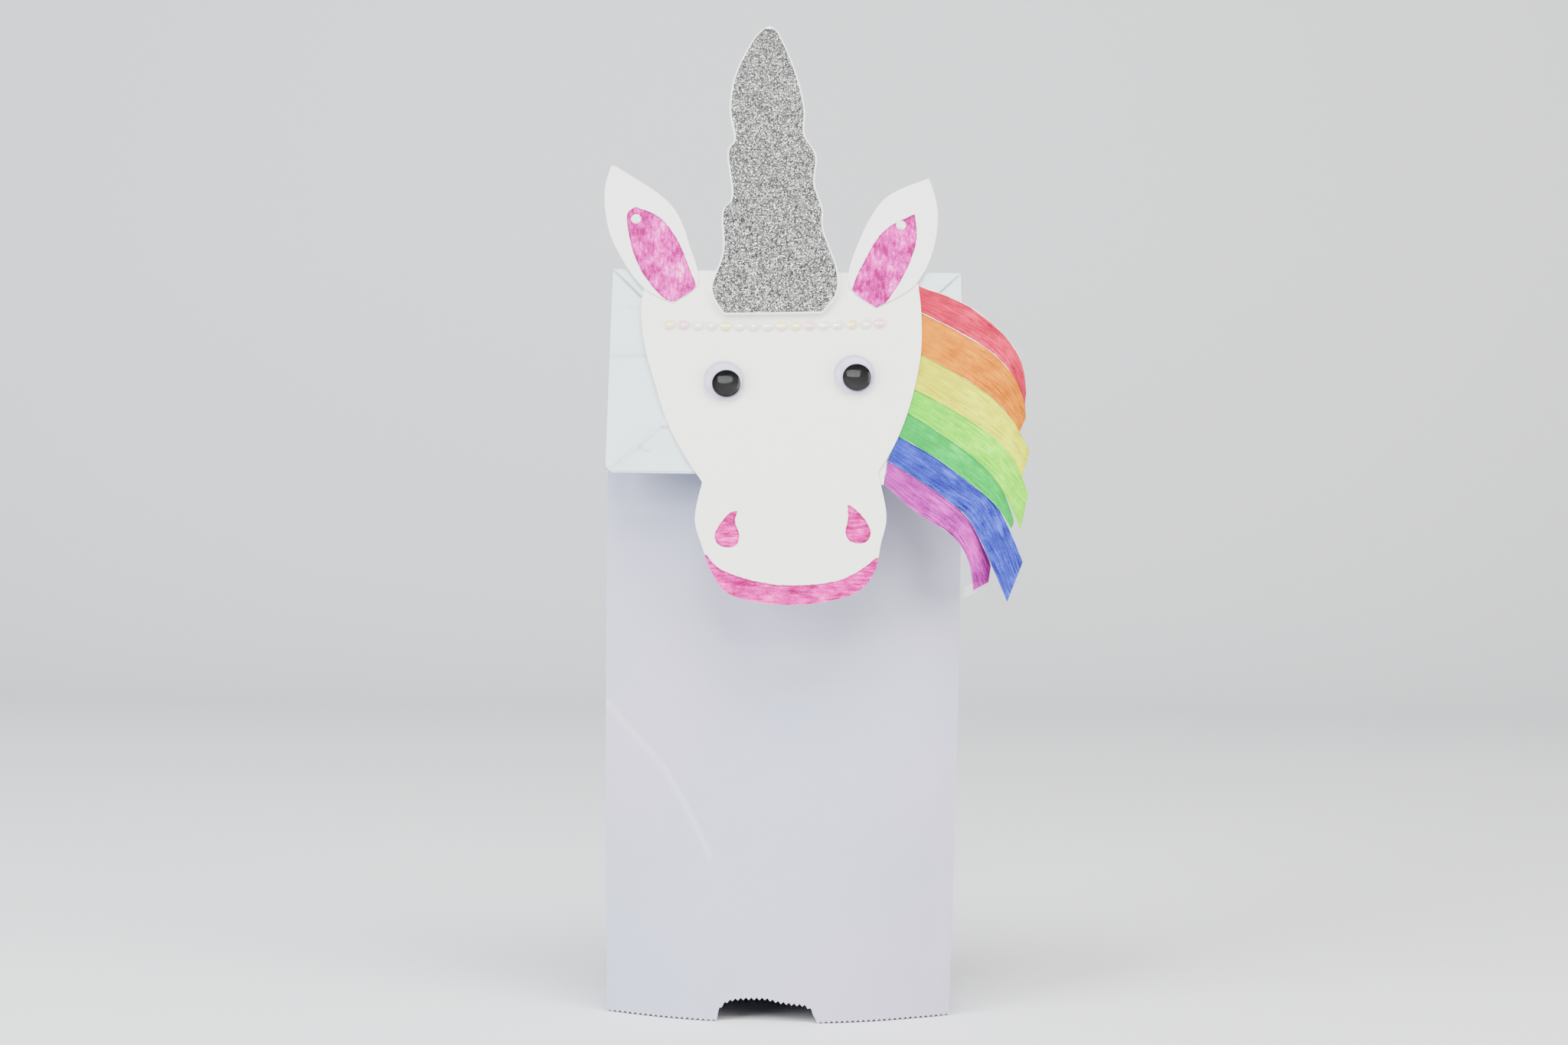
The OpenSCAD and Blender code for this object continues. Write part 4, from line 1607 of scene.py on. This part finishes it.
@dataclass
class Studio:
    """Pale floor swept up into a backdrop, soft lights, and the camera. Sizes in metres."""

    centre: float
    floor: str = "#dcdee0"
    sweep: float = 1.2
    bend: float = 0.5
    front_edge: float = -3.0
    wall: float = 3.0
    side_edge: float = 4.0
    aim_height: float = 0.18
    focal_mm: float = 49.83
    eye: tuple[float, float] = (-0.8, 0.1812)
    lean_deg: tuple[float, float] = (90 - 0.32, 0.70)
    room: str = "#e6e8ee"
    room_strength: float = 0.17
    boxes: tuple = (
        ("left_box", (-1.45, -1.0, 0.9), (1.1, 1.2), 75, "#f8faff"),
        ("right_box", (1.55, -1.0, 0.75), (1.1, 1.2), 52, "#fff9f4"),
        ("top_box", (0.1, -0.75, 1.85), (1.4, 0.8), 63, "#ffffff"),
        ("window_pane", (0.0, -1.05, 0.98), (0.42, 0.2), 4.0, "#ffffff"),
    )

    def backdrop(self) -> bpy.types.Object:
        """One sheet: level floor, a quarter turn, then an upright wall, as a profile carried sideways.

        Returns:
            The piece.
        """
        turn = np.linspace(0, math.pi / 2, 24)
        curve = np.stack([self.sweep + self.bend * np.sin(turn), self.bend - self.bend * np.cos(turn)], -1)
        profile = np.vstack([[(self.front_edge, 0.0)], curve, [(self.sweep + self.bend, self.wall)]])
        x = np.array([-self.side_edge, self.side_edge])[None, :]
        points = np.stack(np.broadcast_arrays(x, profile[:, :1], profile[:, 1:]), -1)
        # Matt painted board: almost even, so that only its shadows show.
        paint = Paper("backdrop_painted_board", self.floor, cloud=0.004, relief_mm=0.002, soft_relief_mm=0.0)
        made = Surface(points.reshape(-1, 3), quads(len(profile), 2)).build("backdrop", paint.make())
        return made

    def light(self, name: str, at: tuple, size: tuple, power: float, tone: str) -> bpy.types.Object:
        """A soft box aimed at the puppet's middle.

        Args:
            name: The light's name.
            at: Where it stands.
            size: Its width and height.
            power: Its power in watts.
            tone: Its sRGB hex colour.

        Returns:
            The light.
        """
        lamp = bpy.data.lights.new(name, "AREA")
        lamp.shape, lamp.size, lamp.size_y, lamp.energy = "RECTANGLE", size[0], size[1], power
        lamp.color = linear(tone)[:3]
        made = bpy.data.objects.new(name, lamp)
        bpy.context.scene.collection.objects.link(made)
        made.location = at
        aim = mathutils.Vector((self.centre, 0, self.aim_height)) - mathutils.Vector(at)
        made.rotation_mode = "QUATERNION"
        made.rotation_quaternion = aim.to_track_quat("-Z", "Y")
        return made

    def camera(self) -> bpy.types.Object:
        """The camera: level with the flap's lower edge, square on to the face, with a slight lean.

        Returns:
            The camera.
        """
        lens = bpy.data.cameras.new("camera")
        lens.lens, lens.sensor_width = self.focal_mm, 36.0
        made = bpy.data.objects.new("camera", lens)
        bpy.context.scene.collection.objects.link(made)
        made.location = (self.centre, *self.eye)
        made.rotation_mode = "QUATERNION"
        tip, roll = (math.radians(angle) for angle in self.lean_deg)
        upright = mathutils.Quaternion((1, 0, 0), tip)
        made.rotation_quaternion = upright @ mathutils.Quaternion((0, 0, 1), roll)
        bpy.context.scene.camera = made
        return made

    def build(self) -> None:
        """Builds the stage, lights and camera."""
        self.camera()
        self.backdrop()
        for box in self.boxes:
            self.light(*box)
        world = bpy.data.worlds.new("room")
        bpy.context.scene.world = world
        world.use_nodes = True
        world.node_tree.nodes.clear()
        sky = add(
            world.node_tree, "ShaderNodeBackground", Color=linear(self.room), Strength=self.room_strength
        )
        add(world.node_tree, "ShaderNodeOutputWorld", Surface=sky.outputs[0])


def main() -> None:
    """Builds the puppet round the frame, then the stage."""
    logging.basicConfig(level=logging.INFO, format="%(name)s: %(message)s")
    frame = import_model()
    layout = Layout.read(frame)
    finishes = Finishes()
    pieces = [*Bag(layout, finishes).build(), *Flap(layout, finishes).build(), *Head(layout, finishes).build()]
    for side in Side:
        pieces += Eye(layout, finishes, side).build()
    for node, finish in {"head_glue": finishes.glue, "mane_root": finishes.card}.items():
        shown = frame["nodes"][node]
        shown.data.materials.clear()
        shown.data.materials.append(finish)
        LOG.info("carried over %s", node)
    for piece in pieces:
        LOG.info("%s: %d faces", piece.name, len(piece.data.polygons))
    Studio(float(layout.top[0])).build()


if __name__ == "__main__":
    main()
